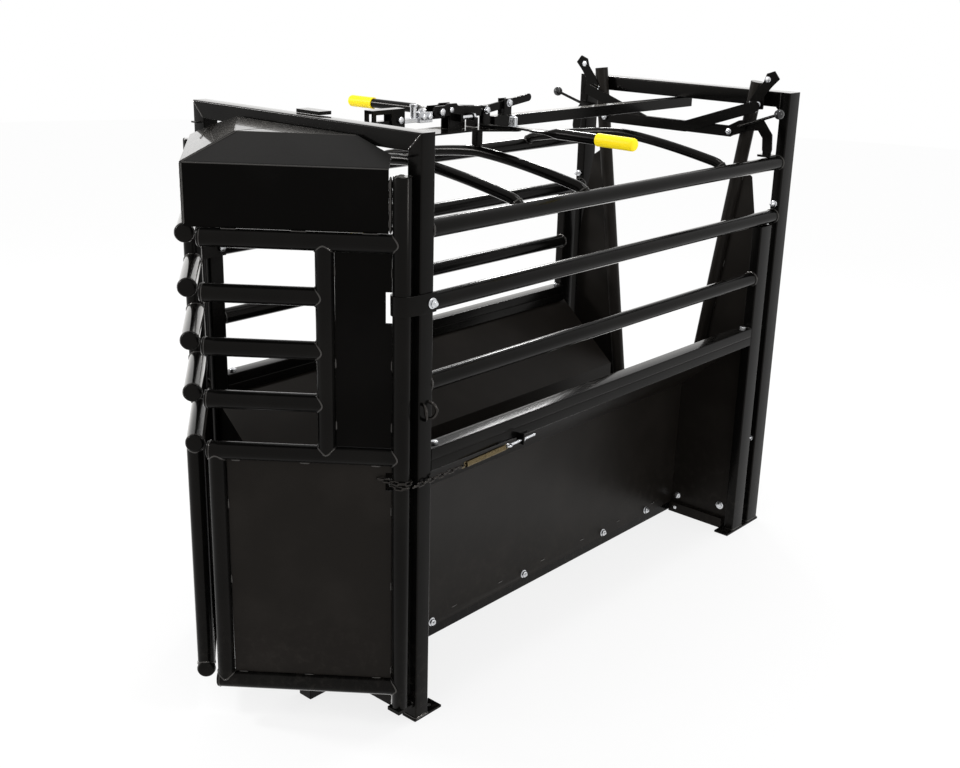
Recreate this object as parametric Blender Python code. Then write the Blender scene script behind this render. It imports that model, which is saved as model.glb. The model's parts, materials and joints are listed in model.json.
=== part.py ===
"""Roping chute: front doors in a V, pipe sides, sloped inner panels, a top latch and a scissor tail gate.

Units are metres, +Z is up, and +Y runs from the doors to the tail gate. Places along Y are measured
from the front frame's face, and one empty shifts the whole chute so that its middle is at the origin.
Pieces are drawn for the right side (+X) and mirrored for the left.
"""

import math

import bmesh
import bpy
from mathutils import Matrix, Vector

# Stock sizes
TUBE = 0.0508
PIPE_RADIUS = TUBE / 2
BAR_RADIUS = 0.0252
SHEET = 0.003
GAP = 0.0003
BOLT_RADIUS = 0.006
HOLE_RADIUS = 0.0064
HEAD_RADIUS = 0.011
HEAD_THICKNESS = 0.008
ROUND_SIDES = 12
HEX_SIDES = 6

# Overall frame
HALF_WIDTH = 0.4745
HEIGHT = 1.702
REAR_FACE_Y = 1.976
REAR_FRAME_DEPTH = 0.076
REAR_POST_WIDTH = 0.038
REAR_BEAM_HEIGHT = 0.054
REAR_CORNER_GUSSET = 0.020
SIDE_POST_FRONT_Y = 1.784
FOOT_THICKNESS = 0.008
FRONT_FOOT_X = HALF_WIDTH - TUBE - 0.0012
REAR_FOOT_X = 0.420
REAR_FRAME_FRONT_Y = REAR_FACE_Y - REAR_FRAME_DEPTH

# Side rails, from the top down, and the panel's own top rail
RAIL_X = 0.449
RAIL_HEIGHTS = {"top": 1.450, "middle": 1.252, "lower": 1.029}
PANEL_RAIL_LOW = 0.776
PANEL_RAIL_HIGH = 0.842
PANEL_RAIL_INNER_X = 0.4237

# Sloped inner panel
PANEL_BEND_X = 0.176
PANEL_BEND_Z = 0.550
PANEL_FOOT_X = 0.1703
PANEL_FOOT_Z = 0.036
PANEL_TOP_X = 0.4475
PANEL_FRONT_Y = 0.006
PANEL_REAR_Y = 1.809
BOTTOM_RAIL_INNER_X = 0.117
BOTTOM_RAIL_HEIGHT = 0.070
BOTTOM_RAIL_FRONT_Y = -0.138

# Doors
HINGE_X = 0.442
HINGE_Y = -0.034
DOOR_ANGLE = math.radians(38.6)
DOOR_LENGTH = 0.529
HINGE_TUBE_LOW = 0.057
HINGE_TUBE_HIGH = 1.594
DOOR_BARS = {"top": 1.420, "window_1": 1.273, "window_2": 1.126, "window_3": 0.979,
             "middle": 0.832, "bottom": 0.121}
UPPER_UPRIGHT = 0.201
LOWER_UPRIGHT = 0.503
MITRE_GAP = 0.003
HOOD_INNER_END = 0.035
HOOD_BEND_Z = 1.611
HOOD_TOP_Z = 1.675
HOOD_DEPTH = 0.137
HOOD_REAR_Y = -0.011
STRAP_LOW = 1.233
STRAP_HIGH = 1.287
STRAP_THICKNESS = 0.005
STRAP_BOLT_Y = 0.041
STRAP_BOLT_Z = 1.258

# Door chain and spring
CHAIN_NOTCH = (0.733, 0.786)
CHAIN_WIRE = 0.0021
CHAIN_LINK_LENGTH = 0.027
CHAIN_LINK_WIDTH = 0.014
CHAIN_PITCH = 0.0194
CHAIN_LINKS = 10
SPRING_CURLS = 32
SPRING_RADIUS = 0.0072
SPRING_WIRE = 0.0018
SPRING_PITCH = 0.0051
POINTS_PER_CURL = 8
LINE_START = Vector((0.4825, -0.032, 0.7545))
LINE_END = Vector((0.4890, 0.4820, 0.7740))

# Roof
BOW_RADIUS = 0.0167
BOW_STATIONS = (0.430, 0.740, 1.526)
BOW_CROWN_Z = 1.540
BOW_END_Z = 1.474
SPINE_HALF_WIDTH = 0.019
SPINE_LOW = 1.6108
SPINE_HIGH = 1.6477

# Latch
PLATE_LOW = 1.6145
PLATE_HIGH = 1.6200
PLATE_HALF_WIDTH = 0.060
LEVER_PIVOT_X = 0.118
LEVER_PIVOT_Y = 0.776
LEVER_TIP_X = 0.018
LEVER_TIP_Y = 0.737
LEVER_LOW = {1: 1.6215, -1: 1.6435}
LEVER_THICKNESS = 0.007
LEVER_NUT_TOP = 1.656
GRIP_END_X = 0.604
GRIP_LENGTH = {1: 0.140, -1: 0.112}
GRIP_RADIUS = 0.0195
LEVER_TUBE_RADIUS = 0.016
JAW_PIVOT_X = 0.050
JAW_PIVOT_Y = 0.200
JAW_LOW = 1.633
JAW_HIGH = 1.645
HOLD_DOWN_PIVOT_Y = 0.771
HOLD_DOWN_PIVOT_Z = 1.669
HOLD_DOWN_TIP_Y = 0.988
HOLD_DOWN_TIP_Z = 1.697

# Tail gate
GATE_PIVOT_X = 0.120
GATE_PIVOT_Z = 0.100
GATE_Y = 1.873
GATE_LEAN = math.radians(8.1)
GATE_TUBE_TOP = 1.735
LINK_FRONT_Y = {1: 1.816, -1: 1.826}
LINK_THICKNESS = 0.006
LINK_HALF_HEIGHT = 0.0205
LINK_BEND_X = 0.094
KNOB_REACH = {1: 0.514, -1: 0.483}
GOOSENECK_PIVOT_X = 0.280
GOOSENECK_PIVOT_Z = 1.553
GOOSENECK_FRONT_Y = 1.8335
GOOSENECK_BACK_Y = 1.8415

# The nose of the hood is the chute's foremost point
NOSE_Y = (HINGE_Y - (HINGE_X - MITRE_GAP) * math.tan(DOOR_ANGLE)
          - SHEET / 2 / math.cos(DOOR_ANGLE))
MIDDLE_Y = (NOSE_Y + REAR_FACE_Y) / 2

SIDES = {"right": 1, "left": -1}


# Materials

def paint(name, colour, roughness, metallic):
    """Return one finish as a Principled material."""
    material = bpy.data.materials.new(name)
    material.use_nodes = True
    shader = material.node_tree.nodes["Principled BSDF"]
    shader.inputs["Base Color"].default_value = (*colour, 1.0)
    shader.inputs["Roughness"].default_value = roughness
    shader.inputs["Metallic"].default_value = metallic
    return material


FINISHES = {
    "black": ((0.020, 0.019, 0.018), 0.35, 0.0),
    "dark_brown": ((0.028, 0.022, 0.018), 0.45, 0.0),
    "zinc": ((0.66, 0.67, 0.69), 0.30, 1.0),
    "chain": ((0.16, 0.15, 0.14), 0.45, 1.0),
    "bronze": ((0.46, 0.36, 0.20), 0.35, 1.0),
    "grip_yellow": ((0.90, 0.66, 0.03), 0.50, 0.0),
    "knob_black": ((0.012, 0.012, 0.012), 0.20, 0.0),
}


# Solids, each a closed bmesh

def box(low, high):
    """Return a box between two corners."""
    solid = bmesh.new()
    bmesh.ops.create_cube(solid, size=1.0)
    low = Vector(low)
    high = Vector(high)
    stretch = Matrix.Diagonal((*(high - low), 1.0))
    solid.transform(Matrix.Translation((low + high) / 2) @ stretch)
    return solid


def prism(outline, place, low, high):
    """Extrude a flat outline: place turns (u, v, depth) into a point."""
    solid = bmesh.new()
    near = [solid.verts.new(place(u, v, low)) for u, v in outline]
    far = [solid.verts.new(place(u, v, high)) for u, v in outline]
    solid.faces.new(near)
    solid.faces.new(list(reversed(far)))
    count = len(outline)
    for i in range(count):
        j = (i + 1) % count
        solid.faces.new((near[j], near[i], far[i], far[j]))
    bmesh.ops.recalc_face_normals(solid, faces=solid.faces)
    return solid


def in_plan(u, v, depth):
    """Place an outline drawn in X and Y, extruded up Z."""
    return Vector((u, v, depth))


def in_section(u, v, depth):
    """Place an outline drawn in X and Z, extruded along Y."""
    return Vector((u, depth, v))


def in_profile(u, v, depth):
    """Place an outline drawn in Y and Z, extruded along X."""
    return Vector((depth, u, v))


def cross_frame(direction):
    """Return two unit vectors square to a direction, the first as near level as can be."""
    up = Vector((0.0, 0.0, 1.0))
    if abs(direction.normalized().dot(up)) > 0.9:
        up = Vector((math.cos(DOOR_ANGLE), math.sin(DOOR_ANGLE), 0.0))
    level = direction.cross(up).normalized()
    return level, level.cross(direction).normalized()


def swept(points, ring_of):
    """Join the rings that ring_of(index, along) gives at each point of a path, and cap both ends."""
    solid = bmesh.new()
    last = len(points) - 1
    rings = []
    for i in range(last + 1):
        along = (points[min(i + 1, last)] - points[max(i - 1, 0)]).normalized()
        rings.append([solid.verts.new(co) for co in ring_of(i, along)])
    count = len(rings[0])
    for near, far in zip(rings, rings[1:]):
        for k in range(count):
            m = (k + 1) % count
            solid.faces.new((near[k], near[m], far[m], far[k]))
    solid.faces.new(rings[0])
    solid.faces.new(rings[-1])
    bmesh.ops.recalc_face_normals(solid, faces=solid.faces)
    return solid


def tube(points, radius, sides=ROUND_SIDES, phase=0.0):
    """Return a round bar through the points."""
    points = [Vector(p) for p in points]

    def ring_of(i, along):
        level, rise = cross_frame(along)
        turns = [phase + 2 * math.pi * k / sides for k in range(sides)]
        return [points[i] + radius * (math.cos(a) * level + math.sin(a) * rise) for a in turns]

    return swept(points, ring_of)


def bolt_head(point, axis, radius=HEAD_RADIUS, thickness=HEAD_THICKNESS, sunk=0.001):
    """Return a hex head that stands on a point along an axis, sunk a little into what it sits on."""
    point = Vector(point)
    axis = Vector(axis).normalized()
    return tube((point - sunk * axis, point + thickness * axis), radius, HEX_SIDES)


def round_end(centre, radius, start_angle, end_angle, steps):
    """Return the outline points of an arc."""
    angles = [start_angle + (end_angle - start_angle) * i / steps for i in range(steps + 1)]
    return [(centre[0] + radius * math.cos(a), centre[1] + radius * math.sin(a)) for a in angles]


def strip_outline(path, half_width, steps=6):
    """Return the outline of a flat bar with round ends and mitred bends along a 2-D path."""
    path = [Vector(p) for p in path]
    left = []
    right = []
    last = len(path) - 1
    for i in range(1, last):
        before = (path[i] - path[i - 1]).normalized()
        after = (path[i + 1] - path[i]).normalized()
        mean = (before + after).normalized()
        normal = Vector((-mean.y, mean.x)) * half_width / mean.dot(before)
        left.append(tuple(path[i] + normal))
        right.append(tuple(path[i] - normal))
    first = path[1] - path[0]
    final = path[last] - path[last - 1]
    head = math.atan2(first.y, first.x)
    tail = math.atan2(final.y, final.x)
    quarter = math.pi / 2
    start_arc = round_end(path[0], half_width, head + quarter, head + 3 * quarter, steps)
    end_arc = round_end(path[last], half_width, tail - quarter, tail + quarter, steps)
    return start_arc + right + end_arc + list(reversed(left))


def band_outline(path, thickness):
    """Return the outline of a thin strip of even thickness that follows a 2-D path, square at its ends."""
    path = [Vector(p) for p in path]
    left = []
    right = []
    last = len(path) - 1
    for i in range(last + 1):
        before = (path[max(i, 1)] - path[max(i, 1) - 1]).normalized()
        after = (path[min(i, last - 1) + 1] - path[min(i, last - 1)]).normalized()
        mean = (before + after).normalized()
        normal = Vector((-mean.y, mean.x)) * thickness / 2 / mean.dot(before)
        left.append(tuple(path[i] + normal))
        right.append(tuple(path[i] - normal))
    return left + list(reversed(right))


def scratch_object(solid):
    """Put a bmesh into a passing object for a Boolean."""
    mesh = bpy.data.meshes.new("passing")
    solid.to_mesh(mesh)
    solid.free()
    carrier = bpy.data.objects.new("passing", mesh)
    bpy.context.scene.collection.objects.link(carrier)
    return carrier


def combine(solids, cuts=()):
    """Union the solids, take the cuts away, and return the result as a bmesh."""
    base = scratch_object(solids[0])
    tools = [(scratch_object(s), "UNION") for s in solids[1:]]
    tools += [(scratch_object(s), "DIFFERENCE") for s in cuts]
    for tool, operation in tools:
        step = base.modifiers.new(operation.lower(), "BOOLEAN")
        step.operation = operation
        step.solver = "EXACT"
        step.object = tool
    bpy.context.view_layer.update()
    seen = base.evaluated_get(bpy.context.evaluated_depsgraph_get())
    result = bmesh.new()
    result.from_mesh(seen.data)
    for passing in [base] + [tool for tool, _ in tools]:
        mesh = passing.data
        bpy.data.objects.remove(passing)
        bpy.data.meshes.remove(mesh)
    bmesh.ops.remove_doubles(result, verts=result.verts, dist=0.00002)
    bmesh.ops.dissolve_degenerate(result, edges=result.edges, dist=0.00002)
    return result


def mirrored(solid, side):
    """Turn a right-hand solid into the left-hand one when side is -1."""
    if side < 0:
        solid.transform(Matrix.Diagonal((-1.0, 1.0, 1.0, 1.0)))
        bmesh.ops.reverse_faces(solid, faces=solid.faces)
    return solid


# Placing

def empty(name, location, parent=None):
    """Return an empty that carries the pieces of one moving body, on its joint's axis."""
    carrier = bpy.data.objects.new(name, None)
    carrier.empty_display_size = 0.05
    bpy.context.scene.collection.objects.link(carrier)
    carrier.location = location
    carrier.parent = parent
    return carrier


def place(name, solid, finish, carrier, pivot=None):
    """Make a named part: its origin is the pivot of its body, or else the middle of its box."""
    if pivot is None:
        corners = [v.co for v in solid.verts]
        low = Vector([min(c[k] for c in corners) for k in range(3)])
        high = Vector([max(c[k] for c in corners) for k in range(3)])
        anchor = (low + high) / 2
        offset = anchor
    else:
        anchor = Vector(pivot)
        offset = Vector((0.0, 0.0, 0.0))
    solid.transform(Matrix.Translation(-anchor))
    mesh = bpy.data.meshes.new(name)
    solid.to_mesh(mesh)
    solid.free()
    mesh.shade_smooth()
    mesh.set_sharp_from_angle(angle=math.radians(35))
    mesh.materials.append(MATERIALS[finish])
    part = bpy.data.objects.new(name, mesh)
    bpy.context.scene.collection.objects.link(part)
    part.parent = carrier
    part.location = offset
    return part


# Fixed frames

def front_frame():
    """Square-tube portal with foot plates, the doors' bottom seats and plates over their hinge tubes."""
    inner = HALF_WIDTH - TUBE
    beam_low = HEIGHT - TUBE
    post_low = FOOT_THICKNESS / 2
    outline = [(-HALF_WIDTH, post_low), (-HALF_WIDTH, HEIGHT), (HALF_WIDTH, HEIGHT),
               (HALF_WIDTH, post_low), (inner, post_low), (inner, beam_low),
               (-inner, beam_low), (-inner, post_low)]
    solids = [prism(outline, in_section, 0.0, TUBE)]
    cuts = []
    foot_front_y = -0.004
    foot_rear_y = 0.107
    foot_hole_y = 0.080
    plate_inner_x = HINGE_X - 0.0235
    plate_outer_x = HINGE_X + 0.0235
    plate_front_y = HINGE_Y - 0.027
    into_post_y = 0.004
    seat_high = HINGE_TUBE_LOW - GAP
    seat_low = seat_high - 0.012
    top_plate_low = 1.640
    top_plate_high = 1.645
    top_plate_outer_x = HINGE_X + 0.004
    top_plate_front_y = HINGE_Y + 0.004
    for side in SIDES.values():
        parts = [
            box((FRONT_FOOT_X, foot_front_y, 0.0),
                (HALF_WIDTH + 0.0012, foot_rear_y, FOOT_THICKNESS)),
            box((plate_inner_x, plate_front_y, seat_low), (plate_outer_x, into_post_y, seat_high)),
            tube(((HINGE_X, HINGE_Y, seat_low + 0.004), (HINGE_X, HINGE_Y, 0.085)), 0.0115),
            box((plate_inner_x, top_plate_front_y, top_plate_low),
                (top_plate_outer_x, into_post_y, top_plate_high)),
        ]
        solids += [mirrored(part, side) for part in parts]
        holes = [
            tube(((RAIL_X, foot_hole_y, -0.01), (RAIL_X, foot_hole_y, 0.02)), 0.007),
            tube(((inner - 0.01, STRAP_BOLT_Y, STRAP_BOLT_Z),
                  (HALF_WIDTH + 0.01, STRAP_BOLT_Y, STRAP_BOLT_Z)), HOLE_RADIUS),
        ]
        cuts += [mirrored(hole, side) for hole in holes]
    place("front_frame", combine(solids, cuts), "black", CHUTE)


def rear_frame():
    """Deep-tube portal with a sill, the side posts, the foot plates under both, and the gate's lugs."""
    inner = HALF_WIDTH - REAR_POST_WIDTH
    beam_low = HEIGHT - REAR_BEAM_HEIGHT
    low = FOOT_THICKNESS / 2
    cut = REAR_CORNER_GUSSET
    outline = [(-HALF_WIDTH, low), (-HALF_WIDTH, HEIGHT), (HALF_WIDTH, HEIGHT), (HALF_WIDTH, low),
               (inner, low), (inner, beam_low - cut), (inner - cut, beam_low),
               (cut - inner, beam_low), (-inner, beam_low - cut), (-inner, low)]
    solids = [prism(outline, in_section, REAR_FRAME_FRONT_Y, REAR_FACE_Y)]
    sill_high = 0.012
    sill_front_y = 1.895
    solids.append(box((-inner - 0.01, sill_front_y, 0.0), (inner + 0.01, REAR_FACE_Y - 0.002, sill_high)))
    foot_front_y = 1.740
    side_post_top = RAIL_HEIGHTS["middle"] - PIPE_RADIUS - GAP
    lug_front_y = GATE_Y + PIPE_RADIUS + 0.003
    for side in SIDES.values():
        parts = [
            box((REAR_FOOT_X, foot_front_y, 0.0), (0.480, REAR_FACE_Y, FOOT_THICKNESS)),
            box((inner, SIDE_POST_FRONT_Y, low), (HALF_WIDTH, SIDE_POST_FRONT_Y + 0.076, side_post_top)),
            box((GATE_PIVOT_X - 0.028, lug_front_y, 0.004),
                (GATE_PIVOT_X + 0.028, lug_front_y + 0.012, GATE_PIVOT_Z + 0.035)),
            tube(((GATE_PIVOT_X, GATE_Y - PIPE_RADIUS - 0.012, GATE_PIVOT_Z),
                  (GATE_PIVOT_X, lug_front_y + 0.006, GATE_PIVOT_Z)), 0.0095),
            bolt_head((0.4555, REAR_FRAME_FRONT_Y, 1.300), (0.0, -1.0, 0.0), 0.013, 0.012),
        ]
        solids += [mirrored(part, side) for part in parts]
    place("rear_frame", combine(solids), "black", CHUTE)


def side_rails(label, side):
    """Three round rails and the panel's square top rail, with its bolts and the spring's tab."""
    for rail, height in RAIL_HEIGHTS.items():
        past_side_post = height > RAIL_HEIGHTS["lower"]
        rear_y = REAR_FRAME_FRONT_Y if past_side_post else SIDE_POST_FRONT_Y
        bar = tube(((RAIL_X, TUBE + GAP, height), (RAIL_X, rear_y - GAP, height)), BAR_RADIUS)
        place(f"{label}_{rail}_rail", mirrored(bar, side), "black", CHUTE)
    bolt_ys = (0.088, SIDE_POST_FRONT_Y - 0.011)
    tab_y = 0.421
    hole = line_point(tab_y)
    solids = [box((PANEL_RAIL_INNER_X, TUBE + GAP, PANEL_RAIL_LOW),
                  (HALF_WIDTH, SIDE_POST_FRONT_Y - GAP, PANEL_RAIL_HIGH)),
              box((HALF_WIDTH - 0.003, tab_y - 0.003, hole.z - 0.012),
                  (hole.x + 0.012, tab_y + 0.003, PANEL_RAIL_LOW + 0.016))]
    solids += [bolt_head((RAIL_X, y, PANEL_RAIL_HIGH), (0.0, 0.0, 1.0)) for y in bolt_ys]
    bore = tube((line_point(tab_y - 0.02), line_point(tab_y + 0.02)), 0.0046)
    place(f"{label}_panel_rail", mirrored(combine(solids, [bore]), side), "black", CHUTE)


def side_panel(label, side):
    """Sheet that slopes in from the panel rail, drops to the bottom rail, and is closed at both ends."""
    top_z = PANEL_RAIL_LOW - GAP
    path = [(PANEL_TOP_X, top_z - SHEET / 2), (0.436, top_z - SHEET / 2),
            (PANEL_BEND_X, PANEL_BEND_Z), (PANEL_FOOT_X, PANEL_FOOT_Z)]
    sheet = prism(band_outline(path, SHEET), in_section, PANEL_FRONT_Y, PANEL_REAR_Y)
    inner_wall = HALF_WIDTH - TUBE - GAP
    rear_wall = HALF_WIDTH - REAR_POST_WIDTH - GAP
    post_cuts = [box((inner_wall, -0.02, 0.5), (0.5, TUBE + GAP, 0.9)),
                 box((rear_wall, SIDE_POST_FRONT_Y - GAP, 0.5), (0.5, REAR_FRAME_FRONT_Y, 0.9))]

    def end_plate(outer_x, foot_x, low_y, high_y):
        slope = (top_z - SHEET / 2 - PANEL_BEND_Z) / (0.436 - PANEL_BEND_X)
        shoulder = PANEL_BEND_Z + slope * (outer_x - PANEL_BEND_X)
        over_foot = FOOT_THICKNESS + GAP
        outline = [(PANEL_FOOT_X + 0.0013, 0.0), (foot_x, 0.0), (foot_x, over_foot),
                   (outer_x, over_foot), (outer_x, min(shoulder, top_z - 0.001)),
                   (PANEL_BEND_X, PANEL_BEND_Z), (PANEL_FOOT_X, PANEL_FOOT_Z)]
        return prism(outline, in_section, low_y, high_y)

    foot_high = 0.040
    foot_depth = 0.022
    solids = [combine([sheet], post_cuts),
              end_plate(inner_wall - 0.0005, FRONT_FOOT_X - GAP,
                        PANEL_FRONT_Y + 0.002, PANEL_FRONT_Y + 0.005),
              end_plate(rear_wall - 0.0005, REAR_FOOT_X - GAP, PANEL_REAR_Y - 0.005, PANEL_REAR_Y - 0.002),
              box((PANEL_FOOT_X + 0.003, PANEL_REAR_Y - foot_depth, 0.0),
                  (0.4195, PANEL_REAR_Y - 0.003, foot_high))]
    front_of_plate = PANEL_REAR_Y - 0.005
    solids += [bolt_head((0.200, front_of_plate, 0.070), (0.0, -1.0, 0.0)),
               bolt_head((0.398, front_of_plate, 0.088), (0.0, -1.0, 0.0)),
               bolt_head((0.206, PANEL_REAR_Y - foot_depth, 0.024), (0.0, -1.0, 0.0), 0.007, 0.006)]
    side_bolt_z = 0.055
    for y in (0.380, 0.851, 1.326, 1.616):
        solids.append(bolt_head((PANEL_FOOT_X + 0.0015, y, side_bolt_z), (1.0, 0.0, 0.0)))
    place(f"{label}_side_panel", mirrored(combine(solids), side), "black", CHUTE)
    rail = box((BOTTOM_RAIL_INNER_X, BOTTOM_RAIL_FRONT_Y, 0.0),
               (PANEL_FOOT_X - SHEET / 2 - GAP, PANEL_REAR_Y, BOTTOM_RAIL_HEIGHT))
    place(f"{label}_bottom_rail", mirrored(rail, side), "black", CHUTE)


# Roof

def bow_height(x):
    """Height of a bow's centre line: a flat crown that falls away as the 1.45 power of the distance."""
    share = abs(x) / RAIL_X
    return BOW_CROWN_Z - (BOW_CROWN_Z - BOW_END_Z) * share ** 1.45


def roof_bows():
    """Three bent pipes from top rail to top rail; the middle one carries the spine's stub post."""
    steps = 12
    xs = [RAIL_X * (2 * i / steps - 1) for i in range(steps + 1)]
    names = ("front", "middle", "rear")
    saddle = PIPE_RADIUS + GAP
    for name, y in zip(names, BOW_STATIONS):
        bar = tube([(x, y, bow_height(x)) for x in xs], BOW_RADIUS)
        cuts = [tube(((side * RAIL_X, y - 0.05, RAIL_HEIGHTS["top"]),
                      (side * RAIL_X, y + 0.05, RAIL_HEIGHTS["top"])), saddle)
                for side in SIDES.values()]
        solids = [bar]
        if name == "middle":
            stub_half = 0.0127
            solids.append(box((-stub_half, y - stub_half, BOW_CROWN_Z),
                              (stub_half, y + stub_half, PLATE_LOW - GAP)))
        place(f"{name}_roof_bow", combine(solids, cuts), "black", CHUTE)


def spine():
    """Square bar over the bows, from the latch plate to the rear beam, with the stop bracket on it."""
    bar = box((-SPINE_HALF_WIDTH, 0.800, SPINE_LOW), (SPINE_HALF_WIDTH, REAR_FACE_Y - 0.004, SPINE_HIGH))
    place("spine_bar", bar, "black", CHUTE)
    low = SPINE_HIGH + GAP
    near_y = 0.853
    far_y = 0.888
    ear_inner = 0.0095
    ear_outer = 0.0145
    solids = [box((-ear_outer, near_y, low), (ear_outer, far_y, low + 0.005))]
    for side in SIDES.values():
        ear = box((ear_inner, near_y, low + 0.002), (ear_outer, far_y, 1.700))
        solids.append(mirrored(ear, side))
    solids.append(bolt_head((ear_outer, near_y + 0.022, 1.686), (1.0, 0.0, 0.0), 0.009, 0.006))
    place("lever_stop_bracket", combine(solids), "zinc", CHUTE)


# Latch

def latch_fixed():
    """Base plate with its studs, beam cover plate, channel, housing and the hold-down lever's clevis."""
    ear_radius = 0.026
    flare_front_y = 0.654
    plate_front_y = TUBE + GAP
    plate_rear_y = 0.798
    tongue_x = 0.030
    tongue_front_y = 0.786
    tongue_rear_y = 0.835
    tongue_high = SPINE_LOW - GAP
    tongue_low = tongue_high - 0.006
    wing_x = 0.088
    wing_rear_y = 0.075
    w = PLATE_HALF_WIDTH
    ear = round_end((LEVER_PIVOT_X, LEVER_PIVOT_Y), ear_radius, math.radians(-62), math.radians(58), 6)
    half = [(wing_x, plate_front_y), (wing_x, wing_rear_y), (w, wing_rear_y), (w, flare_front_y)]
    half += [(x, min(y, plate_rear_y)) for x, y in ear]
    outline = half + [(-x, y) for x, y in reversed(half)]
    solids = [prism(outline, in_plan, PLATE_LOW, PLATE_HIGH),
              box((-tongue_x, tongue_front_y, tongue_low), (tongue_x, tongue_rear_y, tongue_high)),
              box((-tongue_x, tongue_front_y, tongue_low), (tongue_x, plate_rear_y, PLATE_LOW + 0.002))]
    upstand_inner_x = 0.066
    upstand_high = 1.698
    for side in SIDES.values():
        upstand = box((upstand_inner_x, plate_front_y, PLATE_LOW),
                      (wing_x, plate_front_y + 0.006, upstand_high))
        solids.append(mirrored(upstand, side))
        lever_stud = (side * LEVER_PIVOT_X, LEVER_PIVOT_Y)
        jaw_stud = (side * JAW_PIVOT_X, JAW_PIVOT_Y)
        nut_low = LEVER_LOW[side] + LEVER_THICKNESS + GAP
        nut_height = max(LEVER_NUT_TOP - nut_low, 0.009)
        solids += [
            tube(((*lever_stud, PLATE_LOW + 0.002), (*lever_stud, LEVER_LOW[side] - GAP)), 0.012),
            tube(((*lever_stud, PLATE_LOW + 0.003), (*lever_stud, nut_low + 0.004)), BOLT_RADIUS),
            bolt_head((*lever_stud, nut_low), (0.0, 0.0, 1.0), 0.012, nut_height, 0.0),
            tube(((*jaw_stud, PLATE_LOW + 0.002), (*jaw_stud, JAW_LOW - GAP)), 0.009),
            tube(((*jaw_stud, PLATE_LOW + 0.003), (*jaw_stud, JAW_HIGH + 0.0035)), 0.005),
        ]
    place("latch_plate", combine(solids), "black", CHUTE)

    cover_low = HEIGHT + GAP
    cover = box((-0.052, 0.040, cover_low), (0.045, 0.084, cover_low + 0.010))
    place("beam_cover_plate", combine([cover]), "black", CHUTE)

    low = PLATE_HIGH + GAP
    half_width = 0.0175
    inside = half_width - 0.005
    high = 1.6975
    under_top = high - 0.005
    arch_high = 1.684
    shape = [(-half_width, low), (-half_width, high), (half_width, high), (half_width, low),
             (inside, low), (inside, under_top), (-inside, under_top), (-inside, low)]
    arch = box((-0.03, 0.281, low - 0.01), (0.03, 0.343, arch_high))
    channel = [prism(shape, in_section, 0.265, 0.397),
               bolt_head((half_width, 0.376, 1.664), (1.0, 0.0, 0.0), 0.010, 0.007)]
    place("latch_channel", combine(channel, [arch]), "black", CHUTE)

    cheek_inner = 0.0125
    cheek_outer = 0.0185
    leg_front_y = 0.590
    leg_rear_y = 0.660
    cheek = [(leg_front_y, low), (leg_front_y, 1.664), (0.528, 1.664), (0.520, 1.672), (0.520, 1.687),
             (0.528, 1.695), (0.572, 1.695), (0.580, 1.700), (0.620, 1.700), (0.628, 1.692),
             (0.735, 1.685), (0.735, 1.655), (leg_rear_y, 1.655), (leg_rear_y, low)]
    lug_y = 0.616
    bolt_x = 0.033
    bolt_z = 1.6565
    bolt_rear_y = 0.678
    housing = [box((-cheek_inner - 0.001, leg_front_y + 0.002, 1.680),
                   (cheek_inner + 0.001, leg_rear_y - 0.002, 1.690)),
               box((cheek_outer - 0.002, lug_y, bolt_z - 0.011),
                   (bolt_x + 0.009, lug_y + 0.010, bolt_z + 0.011)),
               tube(((bolt_x, lug_y + 0.004, bolt_z), (bolt_x, bolt_rear_y, bolt_z)), BOLT_RADIUS, 8),
               bolt_head((bolt_x, bolt_rear_y, bolt_z), (0.0, 1.0, 0.0)),
               bolt_head((cheek_outer, 0.552, 1.677), (1.0, 0.0, 0.0)),
               bolt_head((cheek_outer, 0.594, 1.681), (1.0, 0.0, 0.0), 0.008, 0.006)]
    housing += [mirrored(prism(cheek, in_profile, cheek_inner, cheek_outer), side) for side in SIDES.values()]
    place("latch_housing", combine(housing), "black", CHUTE)

    ear_inner = 0.0052
    ear_outer = 0.0105
    clevis_front_y = 0.7585
    clevis_rear_y = 0.7875
    pin_z = HOLD_DOWN_PIVOT_Z
    clevis = [box((-ear_outer, clevis_front_y, low), (ear_outer, clevis_rear_y, low + 0.006))]
    for side in SIDES.values():
        ear = box((ear_inner, clevis_front_y, low + 0.003), (ear_outer, clevis_rear_y, pin_z + 0.014))
        clevis.append(mirrored(ear, side))
        clevis.append(bolt_head((side * ear_outer, HOLD_DOWN_PIVOT_Y, pin_z), (side, 0.0, 0.0), 0.009, 0.006))
    clevis.append(tube(((-ear_outer, HOLD_DOWN_PIVOT_Y, pin_z), (ear_outer, HOLD_DOWN_PIVOT_Y, pin_z)),
                       0.005))
    place("lever_clevis", combine(clevis), "zinc", CHUTE)


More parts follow.
